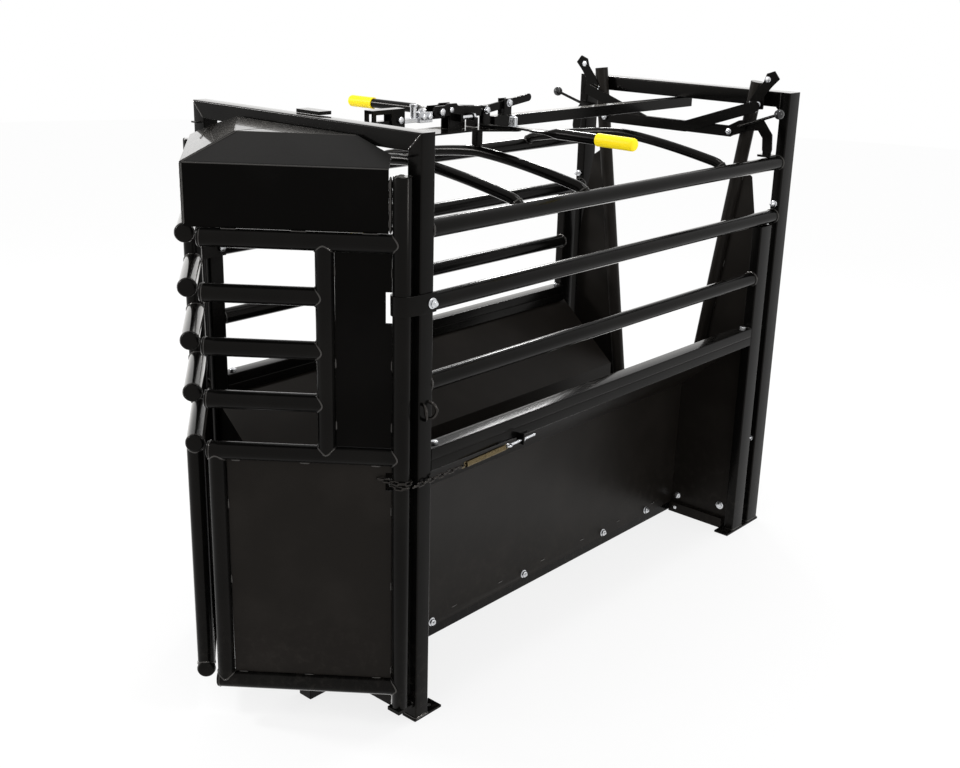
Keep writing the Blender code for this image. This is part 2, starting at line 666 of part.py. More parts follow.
def latch_slide():
    """Bar in the channel, clevis block with bolts, rod in the housing, and the cross foot the levers push."""
    front_y = 0.150
    block_front_y = 0.462
    block_rear_y = 0.515
    block_high = 1.680
    rod_rear_y = 0.718
    rod_high = 1.668
    foot_y = 0.714
    foot_low = PLATE_HIGH + 0.0008
    foot_high = LEVER_LOW[-1] + LEVER_THICKNESS
    solids = [
        box((-0.011, front_y, 1.652), (0.011, block_front_y + 0.004, 1.664)),
        box((-0.017, block_front_y, 1.650), (0.017, block_rear_y, block_high)),
        box((-0.008, block_rear_y - 0.004, 1.656), (0.008, rod_rear_y, rod_high)),
        box((-0.006, foot_y - 0.006, foot_high - 0.004), (0.006, foot_y + 0.004, rod_high - 0.004)),
        box((-0.020, foot_y - 0.008, foot_low), (0.020, foot_y + 0.006, foot_high)),
        bolt_head((0.0, 0.4875, block_high), (0.0, 0.0, 1.0), 0.011, 0.008),
        bolt_head((0.017, 0.476, 1.666), (1.0, 0.0, 0.0), 0.009, 0.007),
        bolt_head((0.017, 0.501, 1.666), (1.0, 0.0, 0.0), 0.009, 0.007),
        tube(((0.0, 0.450, 1.660), (0.0, 0.450, 1.705)), 0.009, HEX_SIDES),
    ]
    carrier = empty("latch_slide_body", (0.0, rod_rear_y, rod_high), CHUTE)
    place("latch_slide", combine(solids), "zinc", carrier, carrier.location)


def latch_jaw(label, side):
    """Finger that lies along the outer side of a door's catch pin, on a stud of the base plate."""
    pivot = (JAW_PIVOT_X, JAW_PIVOT_Y)
    path = [(0.0555, 0.092), (0.0555, 0.130), pivot, (0.044, 0.226)]
    finger = prism(strip_outline(path, 0.0065, 4), in_plan, JAW_LOW, JAW_HIGH)
    boss = tube(((*pivot, JAW_LOW), (*pivot, JAW_HIGH)), 0.0115)
    hole = tube(((*pivot, JAW_LOW - 0.01), (*pivot, JAW_HIGH + 0.01)), 0.0054)
    carrier = empty(f"{label}_jaw_body", (side * JAW_PIVOT_X, JAW_PIVOT_Y, JAW_LOW), CHUTE)
    solid = mirrored(combine([finger, boss], [hole]), side)
    place(f"{label}_latch_jaw", solid, "zinc", carrier, carrier.location)


def latch_lever(label, side):
    """Flat bar on a stud, a flattened paddle and a round handle with a plastic grip over its end."""
    low = LEVER_LOW[side]
    high = low + LEVER_THICKNESS
    middle_z = (low + high) / 2
    along = (Vector((GRIP_END_X, 0.750)) - Vector((0.215, 0.768))).normalized()
    paddle_start = Vector((0.200, 0.7687))
    paddle_end = Vector((0.275, 0.7652))
    tube_end = Vector((GRIP_END_X, 0.750)) - 0.012 * along
    bar = prism(strip_outline([(LEVER_TIP_X, LEVER_TIP_Y), (LEVER_PIVOT_X, LEVER_PIVOT_Y),
                               tuple(paddle_start)], 0.0135, 5), in_plan, low, high)
    side_way = Vector((-along.y, along.x))
    paddle_outline = [paddle_start - 0.010 * along + 0.0135 * side_way,
                      paddle_start + 0.012 * along + 0.028 * side_way,
                      paddle_end + 0.024 * side_way, paddle_end + 0.022 * along + 0.015 * side_way]
    other_side = [p - 2 * (p - paddle_start).dot(side_way) * side_way for p in reversed(paddle_outline)]
    paddle = prism([tuple(p) for p in paddle_outline + other_side], in_plan, low - 0.001, high + 0.001)
    start = Vector((*(paddle_end + 0.002 * along), middle_z))
    handle = tube((start, Vector((*tube_end, middle_z))), LEVER_TUBE_RADIUS)
    pivot = (LEVER_PIVOT_X, LEVER_PIVOT_Y)
    hole = tube(((*pivot, low - 0.01), (*pivot, high + 0.01)), HOLE_RADIUS)
    carrier = empty(f"{label}_lever_body", (side * LEVER_PIVOT_X, LEVER_PIVOT_Y, middle_z), CHUTE)
    lever = mirrored(combine([bar, paddle, handle], [hole]), side)
    place(f"{label}_latch_lever", lever, "black", carrier, carrier.location)

    grip_end = Vector((GRIP_END_X, 0.750, middle_z))
    grip_way = Vector((*along, 0.0))
    sleeve_start = grip_end - GRIP_LENGTH[side] * grip_way
    sleeve = tube((sleeve_start, grip_end - 0.004 * grip_way), GRIP_RADIUS, 16)
    nose = tube((grip_end - 0.006 * grip_way, grip_end), GRIP_RADIUS - 0.004, 16)
    bore = tube((grip_end - 0.2 * grip_way, Vector((*tube_end, middle_z)) + 0.0005 * grip_way),
                LEVER_TUBE_RADIUS + 0.0004)
    grip = mirrored(combine([sleeve, nose], [bore]), side)
    place(f"{label}_lever_grip", grip, "grip_yellow", carrier, carrier.location)


def hold_down_lever():
    """Flat lever on edge between the clevis ears, lying in the stop bracket on the spine."""
    path = [(HOLD_DOWN_PIVOT_Y, HOLD_DOWN_PIVOT_Z), (HOLD_DOWN_TIP_Y, HOLD_DOWN_TIP_Z)]
    bar = prism(strip_outline(path, 0.0125, 6), in_profile, -0.004, 0.004)
    hole = tube(((-0.02, HOLD_DOWN_PIVOT_Y, HOLD_DOWN_PIVOT_Z), (0.02, HOLD_DOWN_PIVOT_Y, HOLD_DOWN_PIVOT_Z)),
                0.0054)
    carrier = empty("hold_down_body", (0.0, HOLD_DOWN_PIVOT_Y, HOLD_DOWN_PIVOT_Z), CHUTE)
    place("hold_down_lever", combine([bar], [hole]), "black", carrier, carrier.location)


# Doors

def door_point(distance, offset, z):
    """Point at a distance from the hinge axis along the right door, offset to its rear side."""
    along = Vector((-math.cos(DOOR_ANGLE), -math.sin(DOOR_ANGLE), 0.0))
    rearward = Vector((-math.sin(DOOR_ANGLE), math.cos(DOOR_ANGLE), 0.0))
    return Vector((HINGE_X, HINGE_Y, z)) + distance * along + offset * rearward


def distance_at_x(x, offset):
    """Distance along the right door at which it reaches a given x."""
    return (HINGE_X - x - offset * math.sin(DOOR_ANGLE)) / math.cos(DOOR_ANGLE)


def distance_at_y(y, offset):
    """Distance along the right door at which it reaches a given y."""
    return (HINGE_Y - y + offset * math.cos(DOOR_ANGLE)) / math.sin(DOOR_ANGLE)


def in_door(u, v, depth):
    """Place an outline drawn along the door and up, extruded through it."""
    return door_point(u, depth, v)


def door_frame():
    """Hinge tube, cross bars and uprights as one weldment, bored for the bottom hinge pin."""
    half_step = math.pi / ROUND_SIDES
    solids = [tube(((HINGE_X, HINGE_Y, HINGE_TUBE_LOW), (HINGE_X, HINGE_Y, HINGE_TUBE_HIGH)),
                   PIPE_RADIUS, ROUND_SIDES)]
    for name, z in DOOR_BARS.items():
        start = UPPER_UPRIGHT if name.startswith("window") else 0.0
        solids.append(tube((door_point(start, 0.0, z), door_point(DOOR_LENGTH, 0.0, z)),
                           BAR_RADIUS, ROUND_SIDES, half_step))
    solids.append(tube((door_point(UPPER_UPRIGHT, 0.0, DOOR_BARS["middle"]),
                        door_point(UPPER_UPRIGHT, 0.0, DOOR_BARS["top"])), PIPE_RADIUS))
    solids.append(tube((door_point(LOWER_UPRIGHT, 0.0, DOOR_BARS["bottom"]),
                        door_point(LOWER_UPRIGHT, 0.0, DOOR_BARS["middle"])), PIPE_RADIUS - 0.0004))
    bore = tube(((HINGE_X, HINGE_Y, HINGE_TUBE_LOW - 0.02), (HINGE_X, HINGE_Y, 0.088)), 0.0120)
    return combine(solids, [bore])


def door_hood():
    """Folded sheet over the V: upright face, sloping face and top face, in one thickness."""
    front = -SHEET / 2
    low_z = DOOR_BARS["top"] + PIPE_RADIUS + GAP
    nose = distance_at_x(MITRE_GAP, front)
    top_nose = distance_at_x(MITRE_GAP, HOOD_DEPTH)
    top_rear = distance_at_y(HOOD_REAR_Y, HOOD_DEPTH)
    end_offset = (HOOD_REAR_Y - HINGE_Y + HOOD_INNER_END * math.sin(DOOR_ANGLE)) / math.cos(DOOR_ANGLE)
    end_share = (end_offset - front) / (HOOD_DEPTH - front)
    end_z = HOOD_BEND_Z + (HOOD_TOP_Z - HOOD_BEND_Z) * end_share
    solid = bmesh.new()
    corners = [
        door_point(HOOD_INNER_END, front, low_z), door_point(nose, front, low_z),
        door_point(nose, front, HOOD_BEND_Z), door_point(HOOD_INNER_END, front, HOOD_BEND_Z),
        door_point(top_nose, HOOD_DEPTH, HOOD_TOP_Z), door_point(top_rear, HOOD_DEPTH, HOOD_TOP_Z),
        door_point(HOOD_INNER_END, end_offset, end_z), Vector((MITRE_GAP, HOOD_REAR_Y, HOOD_TOP_Z)),
    ]
    verts = [solid.verts.new(co) for co in corners]
    for face in ((0, 1, 2, 3), (3, 2, 4, 5, 6), (5, 4, 7)):
        solid.faces.new([verts[k] for k in reversed(face)])
    return solid


def add_hood(label, side, carrier):
    """Place the hood with its wall given by a Solidify modifier."""
    hood = place(f"{label}_door_hood", mirrored(door_hood(), side), "black", carrier, carrier.location)
    wall = hood.modifiers.new("wall", "SOLIDIFY")
    wall.thickness = SHEET
    wall.offset = -1.0
    wall.use_even_offset = True


def door(label, side):
    """One front door: frame, hood, two sheet panels, catch arm and the chain round its hinge tube."""
    pivot = (side * HINGE_X, HINGE_Y, HINGE_TUBE_LOW)
    carrier = empty(f"{label}_door_body", pivot, CHUTE)
    place(f"{label}_door_frame", mirrored(door_frame(), side), "black", carrier, carrier.location)
    add_hood(label, side, carrier)

    edge = PIPE_RADIUS + GAP
    half_sheet = SHEET / 2
    notch_end = 0.042
    inner = UPPER_UPRIGHT - edge
    low = DOOR_BARS["middle"] + edge
    high = DOOR_BARS["top"] - edge
    upper = [(edge, low), (inner, low), (inner, high), (edge, high), (edge, 1.292), (notch_end, 1.292),
             (notch_end, 1.209), (edge, 1.209)]
    panel = mirrored(prism(upper, in_door, -half_sheet, half_sheet), side)
    place(f"{label}_door_middle_panel", panel, "dark_brown", carrier, carrier.location)

    outer = LOWER_UPRIGHT - edge
    low = DOOR_BARS["bottom"] + edge
    high = DOOR_BARS["middle"] - edge
    lower = [(edge, low), (outer, low), (outer, high), (edge, high), (edge, CHAIN_NOTCH[1]),
             (notch_end, CHAIN_NOTCH[1]), (notch_end, CHAIN_NOTCH[0]), (edge, CHAIN_NOTCH[0])]
    panel = mirrored(prism(lower, in_door, -half_sheet, half_sheet), side)
    place(f"{label}_door_lower_panel", panel, "black", carrier, carrier.location)

    arm_low = 1.622
    arm_high = 1.630
    arm = box((0.032, -0.272, arm_low), (0.060, 0.118, arm_high))
    rib = box((0.043, -0.168, arm_high - 0.002), (0.049, -0.020, HOOD_TOP_Z - SHEET - GAP))
    pin = tube(((0.043, 0.105, arm_high - 0.003), (0.043, 0.105, 1.6470)), 0.005)
    arm = mirrored(combine([arm, rib, pin]), side)
    place(f"{label}_catch_arm", arm, "zinc", carrier, carrier.location)

    wrap = mirrored(chain_wrap(), side)
    place(f"{label}_chain_wrap", wrap, "chain", carrier, carrier.location)


def hinge_strap(label, side):
    """Strap bolted through the front post, its straight runs touching the bend round the hinge tube."""
    radius = PIPE_RADIUS + 2 * GAP + STRAP_THICKNESS / 2
    outer_x = HALF_WIDTH + GAP + STRAP_THICKNESS / 2
    inner_x = HALF_WIDTH - TUBE - GAP - STRAP_THICKNESS / 2
    end_y = 0.057
    outer_bend = (outer_x, 0.001)
    inner_bend = (inner_x, -0.001)

    def touch_angle(bend, turn):
        away = Vector(bend) - Vector((HINGE_X, HINGE_Y))
        return math.atan2(away.y, away.x) + turn * math.acos(radius / away.length)

    arc = round_end((HINGE_X, HINGE_Y), radius, touch_angle(outer_bend, -1),
                    touch_angle(inner_bend, 1) - 2 * math.pi, 16)
    path = [(outer_x, end_y), outer_bend] + arc + [inner_bend, (inner_x, end_y)]
    strap = prism(band_outline(path, STRAP_THICKNESS), in_plan, STRAP_LOW, STRAP_HIGH)
    shank = tube(((inner_x, STRAP_BOLT_Y, STRAP_BOLT_Z), (outer_x, STRAP_BOLT_Y, STRAP_BOLT_Z)), BOLT_RADIUS)
    head = bolt_head((outer_x + STRAP_THICKNESS / 2, STRAP_BOLT_Y, STRAP_BOLT_Z), (1.0, 0.0, 0.0))
    nut = bolt_head((inner_x - STRAP_THICKNESS / 2, STRAP_BOLT_Y, STRAP_BOLT_Z), (-1.0, 0.0, 0.0))
    solid = mirrored(combine([strap, shank, head, nut]), side)
    place(f"{label}_hinge_strap", solid, "black", CHUTE)


# Chain and spring

def line_point(y):
    """Point on the straight line of chain, spring and eye bolt at a given y."""
    share = (y - LINE_START.y) / (LINE_END.y - LINE_START.y)
    return LINE_START.lerp(LINE_END, share)


def chain_wrap():
    """Band of chain wound one and a half turns round the hinge tube, with its tail on the door's face."""
    radius = PIPE_RADIUS + 0.0004 + 0.0036
    half_height = 0.006
    half_thickness = 0.0036
    first_angle = math.radians(236)
    last_angle = math.radians(712)
    high_z = 0.7680
    low_z = 0.7510
    steps = 34
    points = [door_point(0.066, -0.0060, high_z + 0.001), door_point(0.044, -0.0105, high_z)]
    inward = [Vector((-math.sin(DOOR_ANGLE), math.cos(DOOR_ANGLE), 0.0))] * 2
    for i in range(steps + 1):
        angle = first_angle + (last_angle - first_angle) * i / steps
        out = Vector((math.cos(angle), math.sin(angle), 0.0))
        points.append(Vector((HINGE_X, HINGE_Y, high_z + (low_z - high_z) * i / steps)) + radius * out)
        inward.append(-out)

    def ring_of(i, along):
        up = Vector((0.0, 0.0, 1.0))
        return [points[i] + a * half_thickness * inward[i] + b * half_height * up
                for a, b in ((-1, -1), (1, -1), (1, 1), (-1, 1))]

    return swept(points, ring_of)


def chain_link(centre, along, roll):
    """One link: a round wire on a stadium path, rolled about the line of the chain."""
    level, rise = cross_frame(along)
    across = math.cos(roll) * level + math.sin(roll) * rise
    normal = along.cross(across)
    bend = CHAIN_LINK_WIDTH / 2 - CHAIN_WIRE
    straight = CHAIN_LINK_LENGTH / 2 - CHAIN_LINK_WIDTH / 2
    arc_points = 4
    path = []
    for end in (1, -1):
        for k in range(arc_points):
            angle = math.pi * (k / (arc_points - 1) - 0.5)
            path.append((end * (straight + bend * math.cos(angle)), end * bend * math.sin(angle),
                         end * math.cos(angle), end * math.sin(angle)))
    sides = 5
    solid = bmesh.new()
    rings = []
    for u, v, out_u, out_v in path:
        middle = centre + u * along + v * across
        outward = out_u * along + out_v * across
        turns = [2 * math.pi * k / sides for k in range(sides)]
        rings.append([solid.verts.new(middle + CHAIN_WIRE * (math.cos(a) * outward + math.sin(a) * normal))
                      for a in turns])
    for i, near in enumerate(rings):
        far = rings[(i + 1) % len(rings)]
        for k in range(sides):
            m = (k + 1) % sides
            solid.faces.new((near[k], near[m], far[m], far[k]))
    bmesh.ops.recalc_face_normals(solid, faces=solid.faces)
    return solid


def chain_end():
    """Distance along the line from its start to the far end of the last link."""
    return CHAIN_LINK_LENGTH / 2 + (CHAIN_LINKS - 1) * CHAIN_PITCH + CHAIN_LINK_LENGTH / 2


def chain_run(label, side):
    """Straight stretch of chain from the hinge tube to the spring's hook, its links run together."""
    along = (LINE_END - LINE_START).normalized()
    links = []
    for i in range(CHAIN_LINKS):
        centre = LINE_START + (CHAIN_LINK_LENGTH / 2 + i * CHAIN_PITCH) * along
        last = i == CHAIN_LINKS - 1
        roll = 0.0 if last else math.radians(45 if i % 2 else -45)
        links.append(chain_link(centre, along, roll))
    place(f"{label}_chain_run", mirrored(combine(links), side), "chain", CHUTE)


def door_spring(label, side):
    """Extension spring: a hook, an unbroken coil and a second hook, along the chain's line."""
    along = (LINE_END - LINE_START).normalized()
    level, rise = cross_frame(along)
    wire_gap = 0.0006
    hook_front = chain_end() - 2 * CHAIN_WIRE - wire_gap - SPRING_WIRE
    coil_start = hook_front + 2 * SPRING_RADIUS + 0.004
    coil_length = SPRING_CURLS * SPRING_PITCH
    hook_rear = coil_start + coil_length + 0.004 + 2 * SPRING_RADIUS
    points = []
    hook_steps = 6
    for i in range(hook_steps + 1):
        angle = math.radians(-20 + 290 * i / hook_steps)
        centre = LINE_START + (hook_front + SPRING_RADIUS) * along
        points.append(centre - SPRING_RADIUS * (math.sin(angle) * rise + math.cos(angle) * along))
    coil_points = SPRING_CURLS * POINTS_PER_CURL
    for i in range(coil_points + 1):
        angle = 2 * math.pi * i / POINTS_PER_CURL + math.pi / 2
        centre = LINE_START + (coil_start + coil_length * i / coil_points) * along
        points.append(centre + SPRING_RADIUS * (math.cos(angle) * level + math.sin(angle) * rise))
    for i in range(hook_steps + 1):
        angle = math.radians(270 - 290 * i / hook_steps)
        centre = LINE_START + (hook_rear - SPRING_RADIUS) * along
        points.append(centre + SPRING_RADIUS * (math.cos(angle) * along - math.sin(angle) * rise))
    neighbours = POINTS_PER_CURL // 2
    least = min((a - b).length for i, a in enumerate(points) for b in points[i + neighbours:])
    print(f"{label} spring: least gap to itself {1000 * (least - 2 * SPRING_WIRE):.2f} mm")
    curve = bpy.data.curves.new(f"{label}_door_spring", "CURVE")
    curve.dimensions = "3D"
    curve.bevel_depth = SPRING_WIRE
    curve.bevel_resolution = 1
    curve.use_fill_caps = True
    spline = curve.splines.new("POLY")
    spline.points.add(len(points) - 1)
    middle = LINE_START + (coil_start + coil_length / 2) * along
    middle.x *= side
    for spot, co in zip(spline.points, points):
        spot.co = (side * co.x - middle.x, co.y - middle.y, co.z - middle.z, 1.0)
    curve.materials.append(MATERIALS["bronze"])
    spring = bpy.data.objects.new(f"{label}_door_spring", curve)
    bpy.context.scene.collection.objects.link(spring)
    spring.parent = CHUTE
    spring.location = middle
    return hook_rear


def eye_bolt(label, side, hook_rear):
    """Eye, threaded shank through the rail's tab, and a nut on each side of the tab."""
    along = (LINE_END - LINE_START).normalized()
    level = cross_frame(along)[0]
    eye_radius = 0.0085
    eye_wire = 0.0030
    eye_front = hook_rear - SPRING_WIRE - 0.0006 - eye_wire
    centre = LINE_START + (eye_front + eye_radius) * along
    steps = 10
    spokes = [2 * math.pi * i / steps for i in range(steps)]
    solid = bmesh.new()
    normal = along.cross(level)
    rings = []
    sides = 6
    for angle in spokes:
        out = math.cos(angle) * along + math.sin(angle) * level
        turns = [2 * math.pi * k / sides for k in range(sides)]
        rings.append([solid.verts.new(centre + eye_radius * out
                                      + eye_wire * (math.cos(a) * out + math.sin(a) * normal))
                      for a in turns])
    for i, near in enumerate(rings):
        far = rings[(i + 1) % steps]
        for k in range(sides):
            m = (k + 1) % sides
            solid.faces.new((near[k], near[m], far[m], far[k]))
    bmesh.ops.recalc_face_normals(solid, faces=solid.faces)
    shank_start = centre + (eye_radius - 0.001) * along
    shank = tube((shank_start, LINE_END), 0.0040, 8)
    nut_start = line_point(0.421 + 0.0036)
    nut = tube((nut_start, nut_start + 0.008 * along), 0.0085, HEX_SIDES)
    place(f"{label}_eye_bolt", mirrored(combine([solid, shank, nut]), side), "zinc", CHUTE)


# Tail gate

def gate_point(height):
    """Centre of the right gate tube at a height, in X and Z."""
    return (GATE_PIVOT_X + (height - GATE_PIVOT_Z) * math.tan(GATE_LEAN), height)


def gate_half(label, side):
    """Leaning tube with its tapered sheet, the lug at its top and two bolts."""
    carrier = empty(f"{label}_gate_body", (side * GATE_PIVOT_X, GATE_Y, GATE_PIVOT_Z), CHUTE)
    foot = gate_point(GATE_PIVOT_Z - 0.040)
    head = gate_point(GATE_TUBE_TOP)
    bar = tube(((foot[0], GATE_Y, foot[1]), (head[0], GATE_Y, head[1])), PIPE_RADIUS)
    sheet_low = 0.150
    sheet_high = 1.430
    outline = [gate_point(sheet_low), (0.4195, sheet_low), (0.4195, 1.050), (0.389, 1.260),
               (0.366, 1.390), gate_point(sheet_high)]
    sheet = prism(outline, in_section, GATE_Y - SHEET / 2, GATE_Y + SHEET / 2)
    lug_back_y = GATE_Y - PIPE_RADIUS + 0.001
    lug_front_y = lug_back_y - 0.007
    lug_outline = [(0.345, 1.637), (0.345, 1.676), (0.366, 1.706), (0.394, 1.740), (0.403, 1.768),
                   (0.433, 1.779), (0.455, 1.752), (0.427, 1.723), (0.401, 1.690), (0.399, 1.641)]
    lug = prism(lug_outline, in_section, lug_front_y, lug_back_y)
    stem = tube(((0.352, lug_front_y + 0.003, 1.660), (0.352, GATE_Y, 1.660)), 0.012)
    bolts = [bolt_head((x, lug_front_y, z), (0.0, -1.0, 0.0), HEAD_RADIUS, 0.006)
             for x, z in ((0.380, 1.657), (0.412, 1.748))]
    hole = tube(((GATE_PIVOT_X, GATE_Y - 0.05, GATE_PIVOT_Z), (GATE_PIVOT_X, GATE_Y + 0.05, GATE_PIVOT_Z)),
                0.0099)
    solid = mirrored(combine([bar, sheet, lug, stem] + bolts, [hole]), side)
    place(f"{label}_gate_half", solid, "dark_brown", carrier, carrier.location)


def gate_link(label, side):
    """Bent drop bar from a gate half's top bolt to the pivot on the far gooseneck, with a knob lever."""
    front_y = LINK_FRONT_Y[side]
    pivot = (-GOOSENECK_PIVOT_X, GOOSENECK_PIVOT_Z)
    path = [(-0.325, 1.577), pivot, (LINK_BEND_X, GOOSENECK_PIVOT_Z), (0.378, 1.650)]
    bar = prism(strip_outline(path, LINK_HALF_HEIGHT, 6), in_section, front_y, front_y + LINK_THICKNESS)
    hole = tube((in_section(*pivot, front_y - 0.02), in_section(*pivot, front_y + 0.02)), HOLE_RADIUS)
    carrier = empty(f"{label}_link_body", (-side * GOOSENECK_PIVOT_X, front_y, GOOSENECK_PIVOT_Z), CHUTE)
    solid = mirrored(combine([bar], [hole]), side)
    place(f"{label}_gate_link", solid, "black", carrier, carrier.location)

    rod_radius = 0.0055
    knob = Vector((-KNOB_REACH[side], front_y - 0.012, 1.633))
    root = Vector((-0.318, front_y - rod_radius - GAP, 1.573))
    rod = tube((root, knob), rod_radius, 8)
    ball = bmesh.new()
    bmesh.ops.create_uvsphere(ball, u_segments=12, v_segments=8, radius=0.018)
    ball.transform(Matrix.Translation(knob))
    lever = mirrored(combine([rod, ball]), side)
    place(f"{label}_knob_lever", lever, "knob_black", carrier, carrier.location)


def gooseneck(label, side):
    """Curved plate that stands on the top rail and carries the far link's pivot stud."""
    base_low = RAIL_HEIGHTS["top"] + PIPE_RADIUS + GAP
    plate = prism(strip_outline([(0.436, 1.500), (0.432, 1.548), (0.402, 1.585), (0.352, 1.580),
                                 (GOOSENECK_PIVOT_X, GOOSENECK_PIVOT_Z)], 0.019, 4),
                  in_section, GOOSENECK_FRONT_Y, GOOSENECK_BACK_Y)
    foot = box((0.410, 1.815, base_low), (0.462, 1.860, base_low + 0.008))
    riser = box((0.4195, GOOSENECK_FRONT_Y + 0.001, base_low + 0.002),
                (0.4525, GOOSENECK_BACK_Y - 0.001, 1.500))
    link_front = LINK_FRONT_Y[-side]
    pivot = (GOOSENECK_PIVOT_X, GOOSENECK_PIVOT_Z)
    stud = tube((in_section(*pivot, link_front - 0.008), in_section(*pivot, GOOSENECK_BACK_Y - 0.001)),
                BOLT_RADIUS)
    spacer = tube((in_section(*pivot, link_front + LINK_THICKNESS + GAP),
                   in_section(*pivot, GOOSENECK_FRONT_Y + 0.002)), 0.010)
    nut = bolt_head(in_section(*pivot, link_front - GAP), (0.0, -1.0, 0.0), HEAD_RADIUS, 0.009, 0.0)
    place(f"{label}_gooseneck", mirrored(combine([plate, foot, riser, stud, spacer, nut]), side),
          "black", CHUTE)


# Assembly

def build():
    """Make every part in order, front to rear."""
    front_frame()
    rear_frame()
    roof_bows()
    spine()
    latch_fixed()
    latch_slide()
    hold_down_lever()
    for label, side in SIDES.items():
        side_rails(label, side)
        side_panel(label, side)
        door(label, side)
        hinge_strap(label, side)
        chain_run(label, side)
        eye_bolt(label, side, door_spring(label, side))
        latch_jaw(label, side)
        latch_lever(label, side)
        gate_half(label, side)
        gate_link(label, side)
        gooseneck(label, side)


for leftover in list(bpy.data.objects):
    bpy.data.objects.remove(leftover)
MATERIALS = {name: paint(name, *values) for name, values in FINISHES.items()}
CHUTE = empty("chute", (0.0, -MIDDLE_Y, 0.0))
build()
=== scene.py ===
"""Looks for a roping chute: gloss powder coat, weld ripples, zinc hardware, real chain and springs.

Places are written in metres from the front frame's face, as the solids' own sizes are, with +Y towards
the tail gate. One shift, read from the rear frame's box, moves every new mesh into the model's frame.
Pieces are worked out for the right side (+X) and mirrored for the left.
"""

from __future__ import annotations

import json
import logging
import math
from dataclasses import dataclass
from enum import Enum
from typing import Callable, Sequence

import bmesh
import bpy
import numpy as np
from mathutils import Matrix, Vector

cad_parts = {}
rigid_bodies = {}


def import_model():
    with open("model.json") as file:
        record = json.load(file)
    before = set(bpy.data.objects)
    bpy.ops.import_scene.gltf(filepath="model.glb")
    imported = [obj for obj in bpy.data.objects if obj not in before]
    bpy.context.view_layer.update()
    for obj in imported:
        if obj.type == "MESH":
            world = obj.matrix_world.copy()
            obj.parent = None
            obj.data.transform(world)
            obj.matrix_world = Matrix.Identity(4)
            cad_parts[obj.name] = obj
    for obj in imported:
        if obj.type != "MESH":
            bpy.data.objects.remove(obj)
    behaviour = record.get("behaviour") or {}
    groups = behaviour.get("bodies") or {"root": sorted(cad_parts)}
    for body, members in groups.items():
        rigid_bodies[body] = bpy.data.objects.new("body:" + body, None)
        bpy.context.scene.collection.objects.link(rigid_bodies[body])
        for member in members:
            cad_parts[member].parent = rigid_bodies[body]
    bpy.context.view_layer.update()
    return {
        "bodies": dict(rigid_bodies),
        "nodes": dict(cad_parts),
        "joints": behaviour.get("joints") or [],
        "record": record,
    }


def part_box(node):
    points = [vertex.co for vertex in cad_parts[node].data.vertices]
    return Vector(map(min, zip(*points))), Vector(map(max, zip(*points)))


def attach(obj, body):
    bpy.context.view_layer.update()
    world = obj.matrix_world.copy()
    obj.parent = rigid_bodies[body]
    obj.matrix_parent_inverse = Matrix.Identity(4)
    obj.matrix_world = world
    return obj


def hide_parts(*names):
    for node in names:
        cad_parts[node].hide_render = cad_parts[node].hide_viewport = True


LOG = logging.getLogger("chute")

Point = Sequence[float]
Colour = tuple[float, float, float]

# Stock sizes, the frames' outer sizes, and the right door's hinge (x, y) with its angle to the front frame
TUBE = 0.0508
PIPE_RADIUS = TUBE / 2
BAR_RADIUS = 0.0252
HALF_WIDTH = 0.4745
HEIGHT = 1.702
REAR_FACE_Y = 1.976
RAIL_X = 0.449
HINGE = (0.442, -0.034)
DOOR_ANGLE = math.radians(38.6)

# Length of one ripple of a weld, and radius of the weld round a rail's end
RIPPLE = 0.0042
RAIL_WELD = 0.0262

# Directions, with those along the right door and to its rear
UP = np.array([0.0, 0.0, 1.0])
REAR = np.array([0.0, 1.0, 0.0])
OUT = np.array([1.0, 0.0, 0.0])
DOOR_WAY = np.array([-math.cos(DOOR_ANGLE), -math.sin(DOOR_ANGLE), 0.0])
DOOR_BACK = np.array([-math.sin(DOOR_ANGLE), math.cos(DOOR_ANGLE), 0.0])


class Side(Enum):
    """The two sides of the chute, with the sign of X on each."""

    RIGHT = 1
    LEFT = -1

    @property
    def prefix(self) -> str:
        """What a piece's name starts with on this side."""
        return f"{self.name.lower()}_"


# Height of each latch lever, its pivot (x, y), and station of each drop link's front face
LEVER_Z = {Side.RIGHT: 1.625, Side.LEFT: 1.647}
LEVER_PIVOT = (0.118, 0.776)
LINK_Y = {Side.RIGHT: 1.816, Side.LEFT: 1.826}

# Name, height and rear end of each round rail
RAILS = (("top", 1.450, 1.900), ("middle", 1.252, 1.900), ("lower", 1.029, 1.784))


# Shader graph


class Signal:
    """One output socket of a shader graph, with the operators that add Math nodes."""

    def __init__(self, graph: Graph, socket: bpy.types.NodeSocket) -> None:
        """Keep the graph and the socket."""
        self.graph = graph
        self.socket = socket

    def maths(self, operation: str, *values: Signal | float) -> Signal:
        """Add one Math node on the given values and return its output."""
        return self.graph.node("ShaderNodeMath", {"operation": operation}, dict(enumerate(values)))

    def __add__(self, other: Signal | float) -> Signal:
        """Sum, the same from either side."""
        return self.maths("ADD", self, other)

    def __mul__(self, other: Signal | float) -> Signal:
        """Product, the same from either side."""
        return self.maths("MULTIPLY", self, other)

    def __rsub__(self, other: float) -> Signal:
        """Difference from a number on the left."""
        return self.maths("SUBTRACT", other, self)

    __radd__ = __add__
    __rmul__ = __mul__

    def over(self, low: float, high: float) -> Signal:
        """Return 0 at low, 1 at high and a smooth step between."""
        inputs = {"Value": self, "From Min": low, "From Max": high}
        return self.graph.node("ShaderNodeMapRange", {"interpolation_type": "SMOOTHSTEP"}, inputs)


